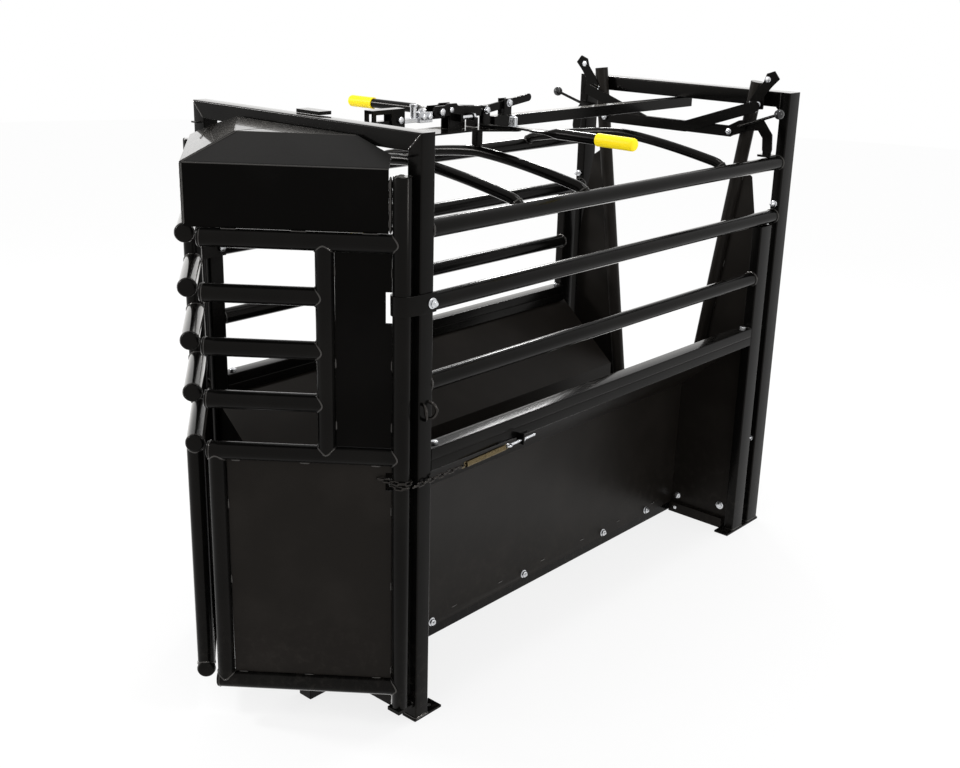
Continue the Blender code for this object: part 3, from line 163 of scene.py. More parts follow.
class Graph:
    """The node tree of a material or a world."""

    def __init__(self, owner: bpy.types.Material | bpy.types.World) -> None:
        """Turn on the owner's nodes.

        Args:
            owner: the material or world.
        """
        owner.use_nodes = True
        self.owner = owner
        self.nodes = owner.node_tree.nodes
        self.links = owner.node_tree.links

    def node(self, kind: str, settings: dict[str, object], inputs: dict[object, object],
             output: str | int = 0) -> Signal:
        """Add a node.

        Args:
            kind: the node's type.
            settings: its properties, set first.
            inputs: values or signals by socket name or place.
            output: the output socket wanted.

        Returns:
            The output as a signal.
        """
        made = self.nodes.new(kind)
        for key, value in settings.items():
            setattr(made, key, value)
        for key, value in inputs.items():
            self.feed(made.inputs[key], value)
        return Signal(self, made.outputs[output])

    def feed(self, socket: bpy.types.NodeSocket, value: object) -> None:
        """Link a signal to a socket, or set a constant on it.

        Args:
            socket: the input socket.
            value: a signal, a number or a triple.
        """
        if isinstance(value, Signal):
            self.links.new(value.socket, socket)
        else:
            socket.default_value = (*value, 1.0) if socket.type == "RGBA" else value

    def place(self) -> Signal:
        """Return the Object coordinates."""
        return self.node("ShaderNodeTexCoord", {}, {}, "Object")

    def noise(self, scale: float, detail: float, stretch: Point = (1.0, 1.0, 1.0),
              roughness: float = 0.5) -> Signal:
        """Return noise from 0 to 1.

        Args:
            scale: cells to the metre.
            detail: octaves.
            stretch: factors along X, Y and Z.
            roughness: weight of the finer octaves.

        Returns:
            The noise as a signal.
        """
        where = self.node("ShaderNodeMapping", {}, {"Vector": self.place(), "Scale": stretch})
        inputs = {"Vector": where, "Scale": scale, "Detail": detail, "Roughness": roughness}
        return self.node("ShaderNodeTexNoise", {}, inputs, "Fac")

    def blend(self, share: Signal, low: Colour | Signal, high: Colour | Signal) -> Signal:
        """Mix two colours by a share."""
        return self.node("ShaderNodeMix", {"data_type": "RGBA"}, {"Factor": share, 6: low, 7: high}, 2)

    def height(self) -> Signal:
        """Return the height above the floor."""
        return self.node("ShaderNodeSeparateXYZ", {}, {"Vector": self.place()}, "Z")

    def bump(self, relief: Signal, strength: float, distance: float) -> Signal:
        """Return a normal from a relief."""
        inputs = {"Height": relief, "Strength": strength, "Distance": distance}
        return self.node("ShaderNodeBump", {}, inputs, "Normal")

    def seen(self) -> Signal:
        """Tell the rays from the eye, and those that gloss or glass sends on, from all others.

        Returns:
            A signal of 1 for those rays and 0 for the others.
        """
        rays = [self.node("ShaderNodeLightPath", {}, {}, f"Is {kind} Ray")
                for kind in ("Camera", "Glossy", "Transmission")]
        both = rays[0].maths("MAXIMUM", rays[0], rays[1])
        return both.maths("MAXIMUM", both, rays[2])

    def finish(self, **inputs: object) -> bpy.types.Material:
        """Feed the shader and return the material.

        Args:
            **inputs: values or signals by socket name, with underscores for spaces.

        Returns:
            The finished material.
        """
        for key, value in inputs.items():
            self.feed(self.nodes["Principled BSDF"].inputs[key.replace("_", " ")], value)
        return self.owner


def material(name: str) -> Graph:
    """Return the graph of a new material."""
    return Graph(bpy.data.materials.new(name))


# Finishes


@dataclass(frozen=True)
class PowderCoat:
    """Baked powder: dark colour, fine orange peel, faint rubbed patches and dust low down."""

    name: str
    slot: str
    colour: Colour
    rubbed: Colour
    roughness: float
    specular: float
    peel: float = 0.05
    dust: float = 0.10
    bloom: float = 0.0
    sheen: float = 1.0
    dust_colour: Colour = (0.110, 0.098, 0.084)
    dust_heights: tuple[float, float] = (0.02, 0.45)
    slope_foot: tuple[float, float] = (1.6105, 1.6150)
    slope_head: tuple[float, float] = (1.6725, 1.6760)

    def make(self) -> bpy.types.Material:
        """Make the material: the hood's slopes get a paler painted highlight, a sheen shows at a flat angle.

        Returns:
            The material.
        """
        g = material(self.name)
        patches = g.noise(5.0, 5.0).over(0.42, 0.72)
        low_down = 1.0 - g.height().over(*self.dust_heights)
        dust = low_down * g.noise(38.0, 5.0, roughness=0.7).over(0.45, 0.80)
        colour = g.blend(dust * self.dust, g.blend(patches, self.colour, self.rubbed), self.dust_colour)
        # Painted highlight: the hood's slopes are made paler for the overhead light that they catch, the top
        # a little less
        if self.bloom:
            slope = g.height().over(*self.slope_foot) * (1.0 - g.height().over(*self.slope_head) * 0.35)
            painted_highlight = slope * (0.80 + g.noise(9.0, 4.0) * 0.40)
            colour = g.blend(painted_highlight, colour, (self.bloom, self.bloom * 0.97, self.bloom * 0.94))
        rough = self.roughness + g.noise(11.0, 4.0, (1.0, 1.0, 0.25)) * 0.12 + dust * 0.15
        relief = g.noise(620.0, 2.0) + g.noise(1900.0, 1.0) * 0.35
        sheen = g.node("ShaderNodeLayerWeight", {}, {"Blend": 0.5}, "Facing").over(0.60, 0.86) * self.sheen
        return g.finish(Base_Color=colour, Roughness=rough, Normal=g.bump(relief, self.peel, 0.0006),
                        Specular_IOR_Level=self.specular, Specular_Tint=(1.0, 0.95, 0.90),
                        Coat_Weight=sheen, Coat_Roughness=0.05, Coat_Tint=(1.0, 0.97, 0.92))


@dataclass(frozen=True)
class PlatedSteel:
    """Bright or dark steel with fine mottling, faint draw lines and a dulled film."""

    name: str
    slot: str
    colour: Colour
    dull: Colour
    roughness: float

    def make(self) -> bpy.types.Material:
        """Make the material.

        Returns:
            The material.
        """
        g = material(self.name)
        mottle = g.noise(240.0, 4.0, roughness=0.65).over(0.35, 0.70)
        stain = g.noise(60.0, 3.0).over(0.50, 0.80)
        relief = g.noise(900.0, 2.0, (1.0, 0.25, 1.0))
        return g.finish(Base_Color=g.blend(mottle * 0.6 + stain * 0.4, self.colour, self.dull),
                        Roughness=self.roughness + mottle * 0.14, Normal=g.bump(relief, 0.12, 0.0003),
                        Metallic=1.0)


@dataclass(frozen=True)
class GripVinyl:
    """Dipped vinyl: even strong colour, fine pebble and a few dull scuffs."""

    name: str
    slot: str
    colour: Colour
    scuffed: Colour

    def make(self) -> bpy.types.Material:
        """Make the material.

        Returns:
            The material.
        """
        g = material(self.name)
        scuff = g.noise(90.0, 5.0, roughness=0.7).over(0.56, 0.78)
        relief = g.noise(1300.0, 2.0) + g.noise(300.0, 2.0) * 0.6
        return g.finish(Base_Color=g.blend(scuff * 0.35, self.colour, self.scuffed),
                        Roughness=0.36 + scuff * 0.20, Normal=g.bump(relief, 0.28, 0.0006),
                        Specular_IOR_Level=0.15)


@dataclass(frozen=True)
class Phenolic:
    """Moulded black knob: very smooth with faint flow marks."""

    name: str
    slot: str
    colour: Colour
    streak: Colour

    def make(self) -> bpy.types.Material:
        """Make the material.

        Returns:
            The material.
        """
        g = material(self.name)
        flow = g.noise(55.0, 3.0)
        return g.finish(Base_Color=g.blend(flow, self.colour, self.streak), Roughness=0.14 + flow * 0.10,
                        Normal=g.bump(g.noise(700.0, 2.0), 0.04, 0.0004))


class Paint(Enum):
    """Named finishes, each with the name of a material slot of the record."""

    BLACK = PowderCoat("black_coat", "black", (0.0020, 0.0019, 0.0018), (0.0036, 0.0034, 0.0031), 0.15, 0.085)
    GLOSS = PowderCoat("door_coat", "dark_brown", (0.0012, 0.0011, 0.0010), (0.0022, 0.0020, 0.0019),
                       0.14, 0.035, 0.03)
    BROWN = PowderCoat("brown_coat", "dark_brown", (0.0092, 0.0079, 0.0068), (0.0120, 0.0104, 0.0090),
                       0.34, 0.11)
    SHEET = PowderCoat("sheet_coat", "black", (0.0084, 0.0072, 0.0062), (0.0116, 0.0100, 0.0087),
                       0.26, 0.075, 0.035, sheen=0.0)
    # The hood's coat gets a painted highlight: paler slopes
    HOOD = PowderCoat("hood_coat", "black", (0.0012, 0.0011, 0.0010), (0.0022, 0.0020, 0.0019),
                      0.22, 0.035, 0.03, bloom=0.017)
    WELD = PowderCoat("weld_coat", "", (0.0035, 0.0033, 0.0031), (0.0060, 0.0056, 0.0052), 0.08, 0.65, 0.02)
    ZINC = PlatedSteel("zinc_plate", "zinc", (0.72, 0.73, 0.75), (0.50, 0.50, 0.51), 0.20)
    CHAIN = PlatedSteel("oiled_chain", "chain", (0.040, 0.037, 0.034), (0.018, 0.016, 0.015), 0.16)
    BRONZE = PlatedSteel("yellow_zinc", "bronze", (0.21, 0.165, 0.090), (0.10, 0.078, 0.045), 0.20)
    GRIP = GripVinyl("yellow_vinyl", "grip_yellow", (1.0, 0.76, 0.012), (0.88, 0.62, 0.02))
    KNOB = Phenolic("ball_knob", "knob_black", (0.006, 0.006, 0.006), (0.014, 0.013, 0.013))


# Surfaces


def unit(vector: np.ndarray) -> np.ndarray:
    """Return vectors scaled to length one."""
    return vector / np.linalg.norm(vector, axis=-1, keepdims=True)


def square_to(axis: Point) -> tuple[np.ndarray, np.ndarray, np.ndarray]:
    """Return an axis at length one, and two directions square to it and to each other.

    Args:
        axis: the axis.

    Returns:
        The axis and the two directions.
    """
    axis = unit(np.asarray(axis, float))
    side = unit(np.cross(axis, UP if abs(axis[2]) < 0.9 else OUT))
    return axis, side, np.cross(side, axis)


def circle(radius: float, sides: int = 32) -> np.ndarray:
    """Return points evenly spaced round a circle."""
    turn = np.linspace(0.0, 2 * math.pi, sides, endpoint=False)
    return radius * np.stack([np.cos(turn), np.sin(turn)], axis=1)


def hexagon(turn: np.ndarray) -> np.ndarray:
    """Return the factor for six flats: cos 30 degrees over the cosine of the angle from a flat's middle."""
    return math.cos(math.pi / 6) / np.cos(np.mod(turn, math.pi / 3) - math.pi / 6)


def rounded(width: float, depth: float, radius: float, steps: int = 5) -> np.ndarray:
    """Return a rectangle with round corners: each corner is a quarter circle about its own centre.

    Args:
        width: the size along the first direction.
        depth: the size along the second.
        radius: the corners' radius.
        steps: chords to a corner.

    Returns:
        The outline's points.
    """
    turn = np.linspace(0.0, math.pi / 2, steps + 1)
    corners = []
    for k, signs in enumerate(((1, 1), (-1, 1), (-1, -1), (1, -1))):
        centre = np.multiply(signs, (width / 2 - radius, depth / 2 - radius))
        angle = turn + k * math.pi / 2
        corners.append(centre + radius * np.stack([np.cos(angle), np.sin(angle)], axis=1))
    return np.concatenate(corners)


def lengths(path: np.ndarray) -> np.ndarray:
    """Return the length run along a path at each of its points."""
    return np.concatenate([[0.0], np.cumsum(np.linalg.norm(np.diff(path, axis=0), axis=1))])


def at(path: np.ndarray, spots: Sequence[float]) -> np.ndarray:
    """Return the points of a path at the given lengths run along it."""
    run = lengths(path)
    return np.stack([np.interp(spots, run, path[:, k]) for k in range(3)], axis=-1)


def smooth_path(points: Sequence[Point], count: int) -> np.ndarray:
    """Return a smooth curve through points: a Catmull-Rom spline, evenly spaced along its length.

    Args:
        points: what it goes through.
        count: how many points it gets.

    Returns:
        Its points.
    """
    knots = np.asarray(points, float)
    padded = np.vstack([2 * knots[0] - knots[1], knots, 2 * knots[-1] - knots[-2]])
    share = np.linspace(0.0, len(knots) - 1 - 1e-9, 40 * len(knots))
    k = share.astype(int)
    t = (share - k)[:, None]
    a, b, c, d = (padded[k + i] for i in range(4))
    curve = 0.5 * (2 * b + (c - a) * t + (2 * a - 5 * b + 4 * c - d) * t ** 2
                   + (3 * b - a - 3 * c + d) * t ** 3)
    return at(curve, np.linspace(0.0, lengths(curve)[-1], count))


def door_point(distance: object, offset: object, z: object) -> np.ndarray:
    """Return points of the right door: a distance from its hinge, an offset to its rear and a height."""
    distance, offset, z = (np.asarray(value, float)[..., None] for value in (distance, offset, z))
    return (*HINGE, 0.0) + distance * DOOR_WAY + offset * DOOR_BACK + z * UP


def ripples(path: np.ndarray, width: float, step: float, least: int,
            closed: bool = False) -> tuple[np.ndarray, np.ndarray, np.ndarray, np.ndarray | float]:
    """Space a bead's points evenly, with the wave of its ripples and the fade at its open ends.

    The wave is the size of a cosine that makes half a turn to each ripple. The fade is the root of the
    distance to the nearer end over the bead's width, with a little added at the tip, and one at most.

    Args:
        path: points along the joint.
        width: half the bead's width.
        step: the spacing.
        least: the fewest points.
        closed: the bead meets its own start.

    Returns:
        The lengths run, the points, the wave from 0 to 1 and the fade.
    """
    loop = np.vstack([path, path[:1]]) if closed else np.asarray(path, float)
    run = lengths(loop)[-1]
    even = np.linspace(0.0, run, max(least, int(run / step)), endpoint=not closed)
    wave = np.abs(np.cos(math.pi * max(1, round(run / RIPPLE)) * even / run))
    fade = 1.0 if closed else np.sqrt(np.clip(np.minimum(even, run - even) / (2 * width) + 0.08, 0.0, 1.0))
    return even, at(loop, even), wave, fade


class Shape:
    """Surfaces that are gathered into one mesh."""

    def __init__(self) -> None:
        """Start empty."""
        self.verts: list[np.ndarray] = []
        self.faces: list[list[int]] = []

    def grid(self, rings: np.ndarray, closed: bool = False) -> Shape:
        """Join rings of points: quads between neighbours, and a flat cap at each open end.

        Args:
            rings: an array of rings by points by three.
            closed: the last ring joins the first.

        Returns:
            This shape.
        """
        n, m = rings.shape[:2]
        first = sum(map(len, self.verts))
        rows = np.arange(n if closed else n - 1)[:, None]
        cols = np.arange(m)[None, :]
        here, there = first + rows * m, first + (rows + 1) % n * m
        after = (cols + 1) % m
        quads = np.stack([here + cols, here + after, there + after, there + cols], axis=2)
        self.faces += quads.reshape(-1, 4).tolist()
        if not closed:
            last = first + (n - 1) * m
            self.faces += [list(range(first, first + m))[::-1], list(range(last, last + m))]
        self.verts.append(rings.reshape(-1, 3))
        return self

    def sweep(self, path: np.ndarray, profile: np.ndarray, level: Point = UP,
              scale: np.ndarray | float = 1.0, closed: bool = False) -> Shape:
        """Carry a profile along a path: each ring is the path's point plus u to one side and v to the other.

        Args:
            path: points along the path.
            profile: points (u, v).
            level: the direction that v leans to.
            scale: factor on the profile at each point.
            closed: the path joins its own start.

        Returns:
            This shape.
        """
        ahead = np.roll(path, -1, axis=0) - np.roll(path, 1, axis=0) if closed else np.gradient(path, axis=0)
        along = unit(ahead)
        side = unit(np.cross(along, np.broadcast_to(level, along.shape)))
        rise = np.cross(side, along)
        scale = np.broadcast_to(scale, len(path))[:, None, None]
        return self.grid(path[:, None, :] + scale * (profile[None, :, 0, None] * side[:, None, :]
                                                     + profile[None, :, 1, None] * rise[:, None, :]), closed)

    def bar(self, start: Point, end: Point, profile: np.ndarray, level: Point = UP,
            start_plane: Point | None = None, end_plane: Point | None = None) -> Shape:
        """Run a straight bar, each end cut square or on a plane: a ring's points slide along the bar onto it.

        Args:
            start: centre of one end.
            end: centre of the other.
            profile: points (u, v).
            level: the direction that v leans to.
            start_plane: the first end's plane normal.
            end_plane: the other end's plane normal.

        Returns:
            This shape.
        """
        along = unit(np.subtract(end, start))
        side = unit(np.cross(along, level))
        ring = profile[:, :1] * side + profile[:, 1:] * np.cross(side, along)
        rings = []
        for point, plane in ((start, start_plane), (end, end_plane)):
            normal = along if plane is None else np.asarray(plane)
            rings.append(point + ring - (ring @ normal)[:, None] / (along @ normal) * along)
        return self.grid(np.stack(rings))

    def pipe(self, start: Point, end: Point, radius: float = BAR_RADIUS) -> Shape:
        """Run a straight round bar."""
        level = UP if abs(unit(np.subtract(end, start))[2]) < 0.9 else DOOR_WAY
        return self.bar(start, end, circle(radius, 48), level)

    def turned(self, origin: Point, axis: Point, profile: Sequence[tuple[float, float]], sides: int = 28,
               lobes: Callable[[np.ndarray], np.ndarray] | None = None) -> Shape:
        """Turn a profile of (distance along the axis, radius) round an axis.

        Args:
            origin: where the distance is nought.
            axis: the axis.
            profile: its points, from one end to the other.
            sides: points round.
            lobes: factor on the radius by angle.

        Returns:
            This shape.
        """
        axis, side, rise = square_to(axis)
        turn = np.linspace(0.0, 2 * math.pi, sides, endpoint=False)[:, None]
        ring = (np.cos(turn) * side + np.sin(turn) * rise) * (1.0 if lobes is None else lobes(turn))
        steps = np.asarray(profile, float)[:, :, None, None]
        return self.grid(np.asarray(origin) + steps[:, 0] * axis + steps[:, 1] * ring)

    def bead(self, path: Sequence[Point], radius: float) -> Shape:
        """Lay a weld along a joint: its radius swells and dips with each ripple, and wanders a little.

        Args:
            path: points along the joint.
            radius: half its width.

        Returns:
            This shape.
        """
        even, line, wave, fade = ripples(path, radius, RIPPLE / 4, 8)
        wander = 1.0 + 0.10 * np.sin(even * 210.0) + 0.06 * np.sin(even * 530.0 + 1.0)
        level = UP if abs(unit(line[-1] - line[0])[2]) < 0.8 else (0.6, 0.8, 0.0)
        return self.sweep(line, circle(radius, 8), level, (0.80 + 0.20 * wave) * fade * wander)

    def stitches(self, starts: Sequence[float], length: float, place: Callable[[np.ndarray], np.ndarray],
                 radius: float) -> Shape:
        """Lay short beads of one length.

        Args:
            starts: where each begins.
            length: how long each is.
            place: the points of the joint at given distances.
            radius: half their width.

        Returns:
            This shape.
        """
        for start in starts:
            self.bead(place(np.array([start, start + length])), radius)
        return self

    def foot_beads(self, low: Point, high: Point, radius: float) -> Shape:
        """Lay beads round a post that stands on a foot plate.

        Args:
            low: one corner of the post (x, y).
            high: the corner opposite.
            radius: half the beads' width.

        Returns:
            This shape.
        """
        (x0, y0), (x1, y1), z = low, high, 0.009
        corners = [(x0, y0, z), (x1, y0, z), (x1, y1, z), (x0, y1, z)]
        for pair in zip(corners, corners[1:] + corners[:1]):
            self.bead(pair, radius)
        return self

    def ring_bead(self, centre: Point, axis: Point, radius: float, width: float = 0.0032,
                  start: float = 0.0, share: float = 1.0) -> Shape:
        """Lay a weld round a circle: centre plus radius times two directions square to the axis.

        Args:
            centre: the circle's centre.
            axis: its axis.
            radius: its radius.
            width: half the bead's width.
            start: the angle that it begins at.
            share: how much of the circle it goes round.

        Returns:
            This shape.
        """
        axis, side, rise = square_to(axis)
        turn = (start + np.linspace(0.0, 2 * math.pi * share, 49)[: 49 if share < 1.0 else 48])[:, None]
        path = np.asarray(centre) + radius * (np.cos(turn) * side + np.sin(turn) * rise)
        return self.level_bead(path, width, axis + 0.01 * side, share >= 1.0)

    def saddle_bead(self, centre: Point, way: Point, post: Point, bar_radius: float,
                    post_radius: float) -> Shape:
        """Lay a weld where a round bar meets a round post.

        A point at angle a round the bar lies the root of (post radius squared less the square of its
        sideways reach) along the bar from the post's axis.

        Args:
            centre: where the two axes cross.
            way: direction of the bar from the post.
            post: direction of the post's axis.
            bar_radius: radius of the bar.
            post_radius: radius of the post.

        Returns:
            This shape.
        """
        across = np.cross(post, way)
        reach, rise = bar_radius * circle(1.0, 64).T[:, :, None]
        depth = np.sqrt(np.maximum(post_radius ** 2 - reach ** 2, 1e-8))
        path = np.asarray(centre) + depth * way + reach * across + rise * post
        return self.level_bead(path, 0.0030, way + 0.01 * across, True)

    def level_bead(self, path: np.ndarray, width: float, level: Point, closed: bool) -> Shape:
        """Lay a rippled bead on a path, with the given direction kept for its profile.

        Args:
            path: points along the joint.
            width: half its width.
            level: the direction kept.
            closed: it meets its own start.

        Returns:
            This shape.
        """
        even, line, wave, fade = ripples(path, width, 0.0011, 16, closed)
        wave = (0.80 + 0.22 * wave + 0.07 * np.sin(even * 300.0)) * fade
        return self.sweep(line, circle(width, 8), level, wave, closed)

    def hex_bolt(self, seat: Point, axis: Point, radius: float, thickness: float, washer: float = 0.0,
                 stud: float = 0.0, stud_radius: float = 0.0045) -> Shape:
        """Stand a hex head on a seat: six flats, a chamfered crown, and a washer and a thread end if asked.

        Args:
            seat: the point that it stands on.
            axis: the way that it points.
            radius: distance to a corner.
            thickness: height of the head.
            washer: radius of the washer, or nought.
            stud: how far the thread stands out of it.
            stud_radius: radius of the thread.

        Returns:
            This shape.
        """
        base = 0.0018 if washer else 0.0
        if washer:
            self.turned(seat, axis, [(-0.0005, washer * 0.99), (0.0003, washer), (0.0014, washer),
                                     (base, washer * 0.96), (base, 0.002)])
        top, chamfer, sink = base + thickness, radius * 0.10, 0.0004
        self.turned(seat, axis, [(base - 0.0005, radius), (top - chamfer, radius)], 36, hexagon)
        self.turned(seat, axis, [(top - chamfer - sink, radius * 0.94), (top - sink, radius * 0.86),
                                 (top, radius * 0.80), (top + 0.0001, 0.0005)], 36)
        if stud:
            self.thread(seat + (top - 0.0005) * np.asarray(axis), axis, stud_radius, stud)
        return self

    def thread(self, start: Point, axis: Point, radius: float, length: float, pitch: float = 0.0014) -> Shape:
        """Turn a threaded end: the radius dips 9 percent with each pitch, and its tip is chamfered.

        Args:
            start: where it begins.
            axis: the way that it points.
            radius: its radius.
            length: its length.
            pitch: length of one turn.

        Returns:
            This shape.
        """
        steps = np.linspace(0.0, length, max(6, int(length / pitch * 4)))
        wave = radius * (0.955 + 0.045 * np.cos(2 * math.pi * steps / pitch))
        wave[-1] = radius * 0.78
        return self.turned(start, axis, [*zip(steps, wave), (length + 0.0001, 0.0004)], 18)

    def upright(self, outline: Sequence[Point], low: float, high: float) -> Shape:
        """Extrude an outline of (x, z) between two stations."""
        return self.grid(np.array([[(u, y, v) for u, v in outline] for y in (low, high)], float))

    def slab(self, low: Point, high: Point) -> Shape:
        """Add a rectangular block between two corners.

        Args:
            low: the corner with the least x, y and z.
            high: the corner opposite.

        Returns:
            This shape.
        """
        (x0, y0, z0), (x1, y1, z1) = low, high
        return self.grid(np.array([[(x0, y0, z), (x1, y0, z), (x1, y1, z), (x0, y1, z)]
                                   for z in (z0, z1)], float))


# Pieces


# Distances under which corners merge, in new meshes and in the solids' loose triangles
MERGE_NEW = 1e-6
MERGE_SOLID = 2e-5

# Angles in degrees: what counts as flat, what is sharp in new meshes and in solids, and what is bevelled
FLAT_ANGLE = 0.4
SHARP_NEW = 38
SHARP_SOLID = 32
BEVEL_ANGLE = 32


class Workshop:
    """The frame, the paints and the list of solids that have their looks."""

    def __init__(self, frame: dict) -> None:
        """Read the frame and make the paints.
        """
        self.nodes: dict[str, bpy.types.Object] = frame["nodes"]
        self.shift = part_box("rear_frame")[1].y - REAR_FACE_Y
        self.bodies = frame["record"]["behaviour"]["bodies"]
        self.paints = {paint: paint.value.make() for paint in Paint}
        self.replaced: set[str] = set()


@dataclass
class Assembly:
    """A sub-assembly: it makes its pieces in a workshop, for one side or for the middle."""

    shop: Workshop
    side: Side | None = None

    def put(self, name: str, shape: Shape, paint: Paint, replaces: str = "", body: str = "chute",
            edge: float = 0.0) -> None:
        """Make a piece from a shape.

        Args:
            name: the piece's name, which gets the side's before it.
            shape: its surfaces, for the right side.
            paint: its finish.
            replaces: the solid that it stands for, which gets the side's name too.
            body: the body that it rides on, or the side's own body of that name.
            edge: width of a bevel on its sharp edges.
        """
        prefix, sign = (self.side.prefix, self.side.value) if self.side else ("", 1)
        body = prefix + body if prefix + body in self.shop.bodies else body
        verts = np.concatenate(shape.verts) * (sign, 1.0, 1.0) + (0.0, self.shop.shift, 0.0)
        mesh = bpy.data.meshes.new(prefix + name)
        mesh.from_pydata(verts.tolist(), [], shape.faces)
        merged = bmesh.new()
        merged.from_mesh(mesh)
        bmesh.ops.remove_doubles(merged, verts=merged.verts, dist=MERGE_NEW)
        bmesh.ops.recalc_face_normals(merged, faces=merged.faces)
        node = prefix + replaces if replaces else ""
        self._finish(mesh, merged, paint, body, node, edge, SHARP_NEW)

    def dress(self, node: str, paint: Paint, edge: float, slot: str = "") -> None:
        """Stand a merged copy of a solid, with its edges rounded, in for the plain one.

        Args:
            node: the solid's name, which gets the side's before it.
            paint: its finish.
            edge: the width of the rounding.
            slot: the record's material slot, where it isn't the paint's; not used.
        """
        node = self.side.prefix + node if self.side else node
        body = next(body for body, nodes in self.shop.bodies.items() if node in nodes)
        mesh = self.shop.nodes[node].data.copy()
        mesh.name = f"{node}_dressed"
        merged = bmesh.new()
        merged.from_mesh(mesh)
        bmesh.ops.remove_doubles(merged, verts=merged.verts, dist=MERGE_SOLID)
        bmesh.ops.dissolve_limit(merged, angle_limit=math.radians(FLAT_ANGLE), verts=merged.verts,
                                 edges=merged.edges)
        self._finish(mesh, merged, paint, body, node, edge, SHARP_SOLID)

    def _finish(self, mesh: bpy.types.Mesh, merged: bmesh.types.BMesh, paint: Paint, body: str,
                replaces: str, edge: float, sharp: float) -> None:
        """Make the object of a mesh, paint it and put it on its body.

        Args:
            mesh: the mesh, whose name the piece gets.
            merged: what goes into it.
            paint: its finish.
            body: the body that it rides on.
            replaces: the solid that it stands for, or none.
            edge: width of a bevel on its sharp edges, or nought.
            sharp: the angle, in degrees, past which an edge is sharp.
        """
        merged.to_mesh(mesh)
        merged.free()
        mesh.materials.clear()
        mesh.materials.append(self.shop.paints[paint])
        mesh.shade_smooth()
        mesh.set_sharp_from_angle(angle=math.radians(sharp))
        piece = bpy.data.objects.new(mesh.name, mesh)
        bpy.context.scene.collection.objects.link(piece)
        if edge:
            bevel = piece.modifiers.new("edge", "BEVEL")
            bevel.width = edge
            bevel.segments = 3
            bevel.limit_method = "ANGLE"
            bevel.angle_limit = math.radians(BEVEL_ANGLE)
            bevel.harden_normals = True
            bevel.use_clamp_overlap = True
        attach(piece, body)
        if replaces:
            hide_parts(replaces)
            self.shop.replaced.add(replaces)
        LOG.info("%s: %d faces on %s", piece.name, len(mesh.polygons), body)


# Sub-assemblies


@dataclass
class FrontFrame(Assembly):
    """Mitred square-tube portal at the doors."""

    corner_radius: float = 0.0040
    post_foot: float = 0.004

    def build(self) -> None:
        """Run the two posts and the beam, cut on a diagonal plane at each corner."""
        x, y, z = HALF_WIDTH - TUBE / 2, TUBE / 2, HEIGHT - TUBE / 2
        section = rounded(TUBE, TUBE, self.corner_radius)
        right, left = (1.0, 0.0, -1.0), (1.0, 0.0, 1.0)
        frame = Shape()
        frame.bar((x, y, self.post_foot), (x, y, z), section, REAR, None, right)
        frame.bar((-x, y, self.post_foot), (-x, y, z), section, REAR, None, left)
        frame.bar((-x, y, z), (x, y, z), section, REAR, left, right)
        self.put("front_portal", frame, Paint.BLACK, "front_frame")


@dataclass
class FrontCorner(Assembly):
    """One front post's foot, hinge seat and pin, plate over the hinge tube, and welds."""

    foot_low: tuple[float, float, float] = (0.4225, -0.004, 0.0)
    foot_high: tuple[float, float, float] = (0.4757, 0.107, 0.008)
    hole: tuple[float, float, float] = (RAIL_X, 0.080, 0.0079)
    plate_half: float = 0.0235
    seat_high: float = 0.0567
    seat_thick: float = 0.012
    cover_low: float = 1.640
    cover_thick: float = 0.005

    def build(self) -> None:
        """Make the plates and lay the welds of the mitre, the foot and the seat."""
        x, y = HINGE
        self.put("front_foot", Shape().slab(self.foot_low, self.foot_high), Paint.BLACK, edge=0.0012)
        rim = [(0.0, 0.0070), (0.0004, 0.0070), (0.0003, 0.0060), (0.0002, 0.0004)]
        self.put("foot_hole", Shape().turned(self.hole, UP, rim), Paint.ZINC)
        plates = Shape().slab((x - self.plate_half, y - 0.027, self.seat_high - self.seat_thick),
                              (x + self.plate_half, 0.004, self.seat_high))
        plates.slab((x - self.plate_half, y + 0.004, self.cover_low),
                    (x + 0.004, 0.004, self.cover_low + self.cover_thick))
        self.put("hinge_plates", plates, Paint.BLACK, edge=0.0014)
        pin = [(0.0, 0.0115), (0.034, 0.0115), (0.036, 0.0105)]
        self.put("hinge_pin", Shape().turned((x, y, self.seat_high - 0.008), UP, pin), Paint.ZINC)
        inner, inset = HALF_WIDTH - TUBE, 0.003
        welds = Shape()
        for face in (0.0, TUBE):
            welds.bead([(inner + inset, face, HEIGHT - TUBE + inset),
                        (HALF_WIDTH - inset, face, HEIGHT - inset)], 0.0022)
        welds.foot_beads((inner, 0.0), (HALF_WIDTH, TUBE), 0.0032)
        for z, outer in ((self.seat_high, 0.022), (self.cover_low, 0.003)):
            welds.bead([(x - 0.022, -0.0005, z + 0.0005), (x + outer, -0.0005, z + 0.0005)], 0.0030)
        self.put("front_welds", welds, Paint.WELD)


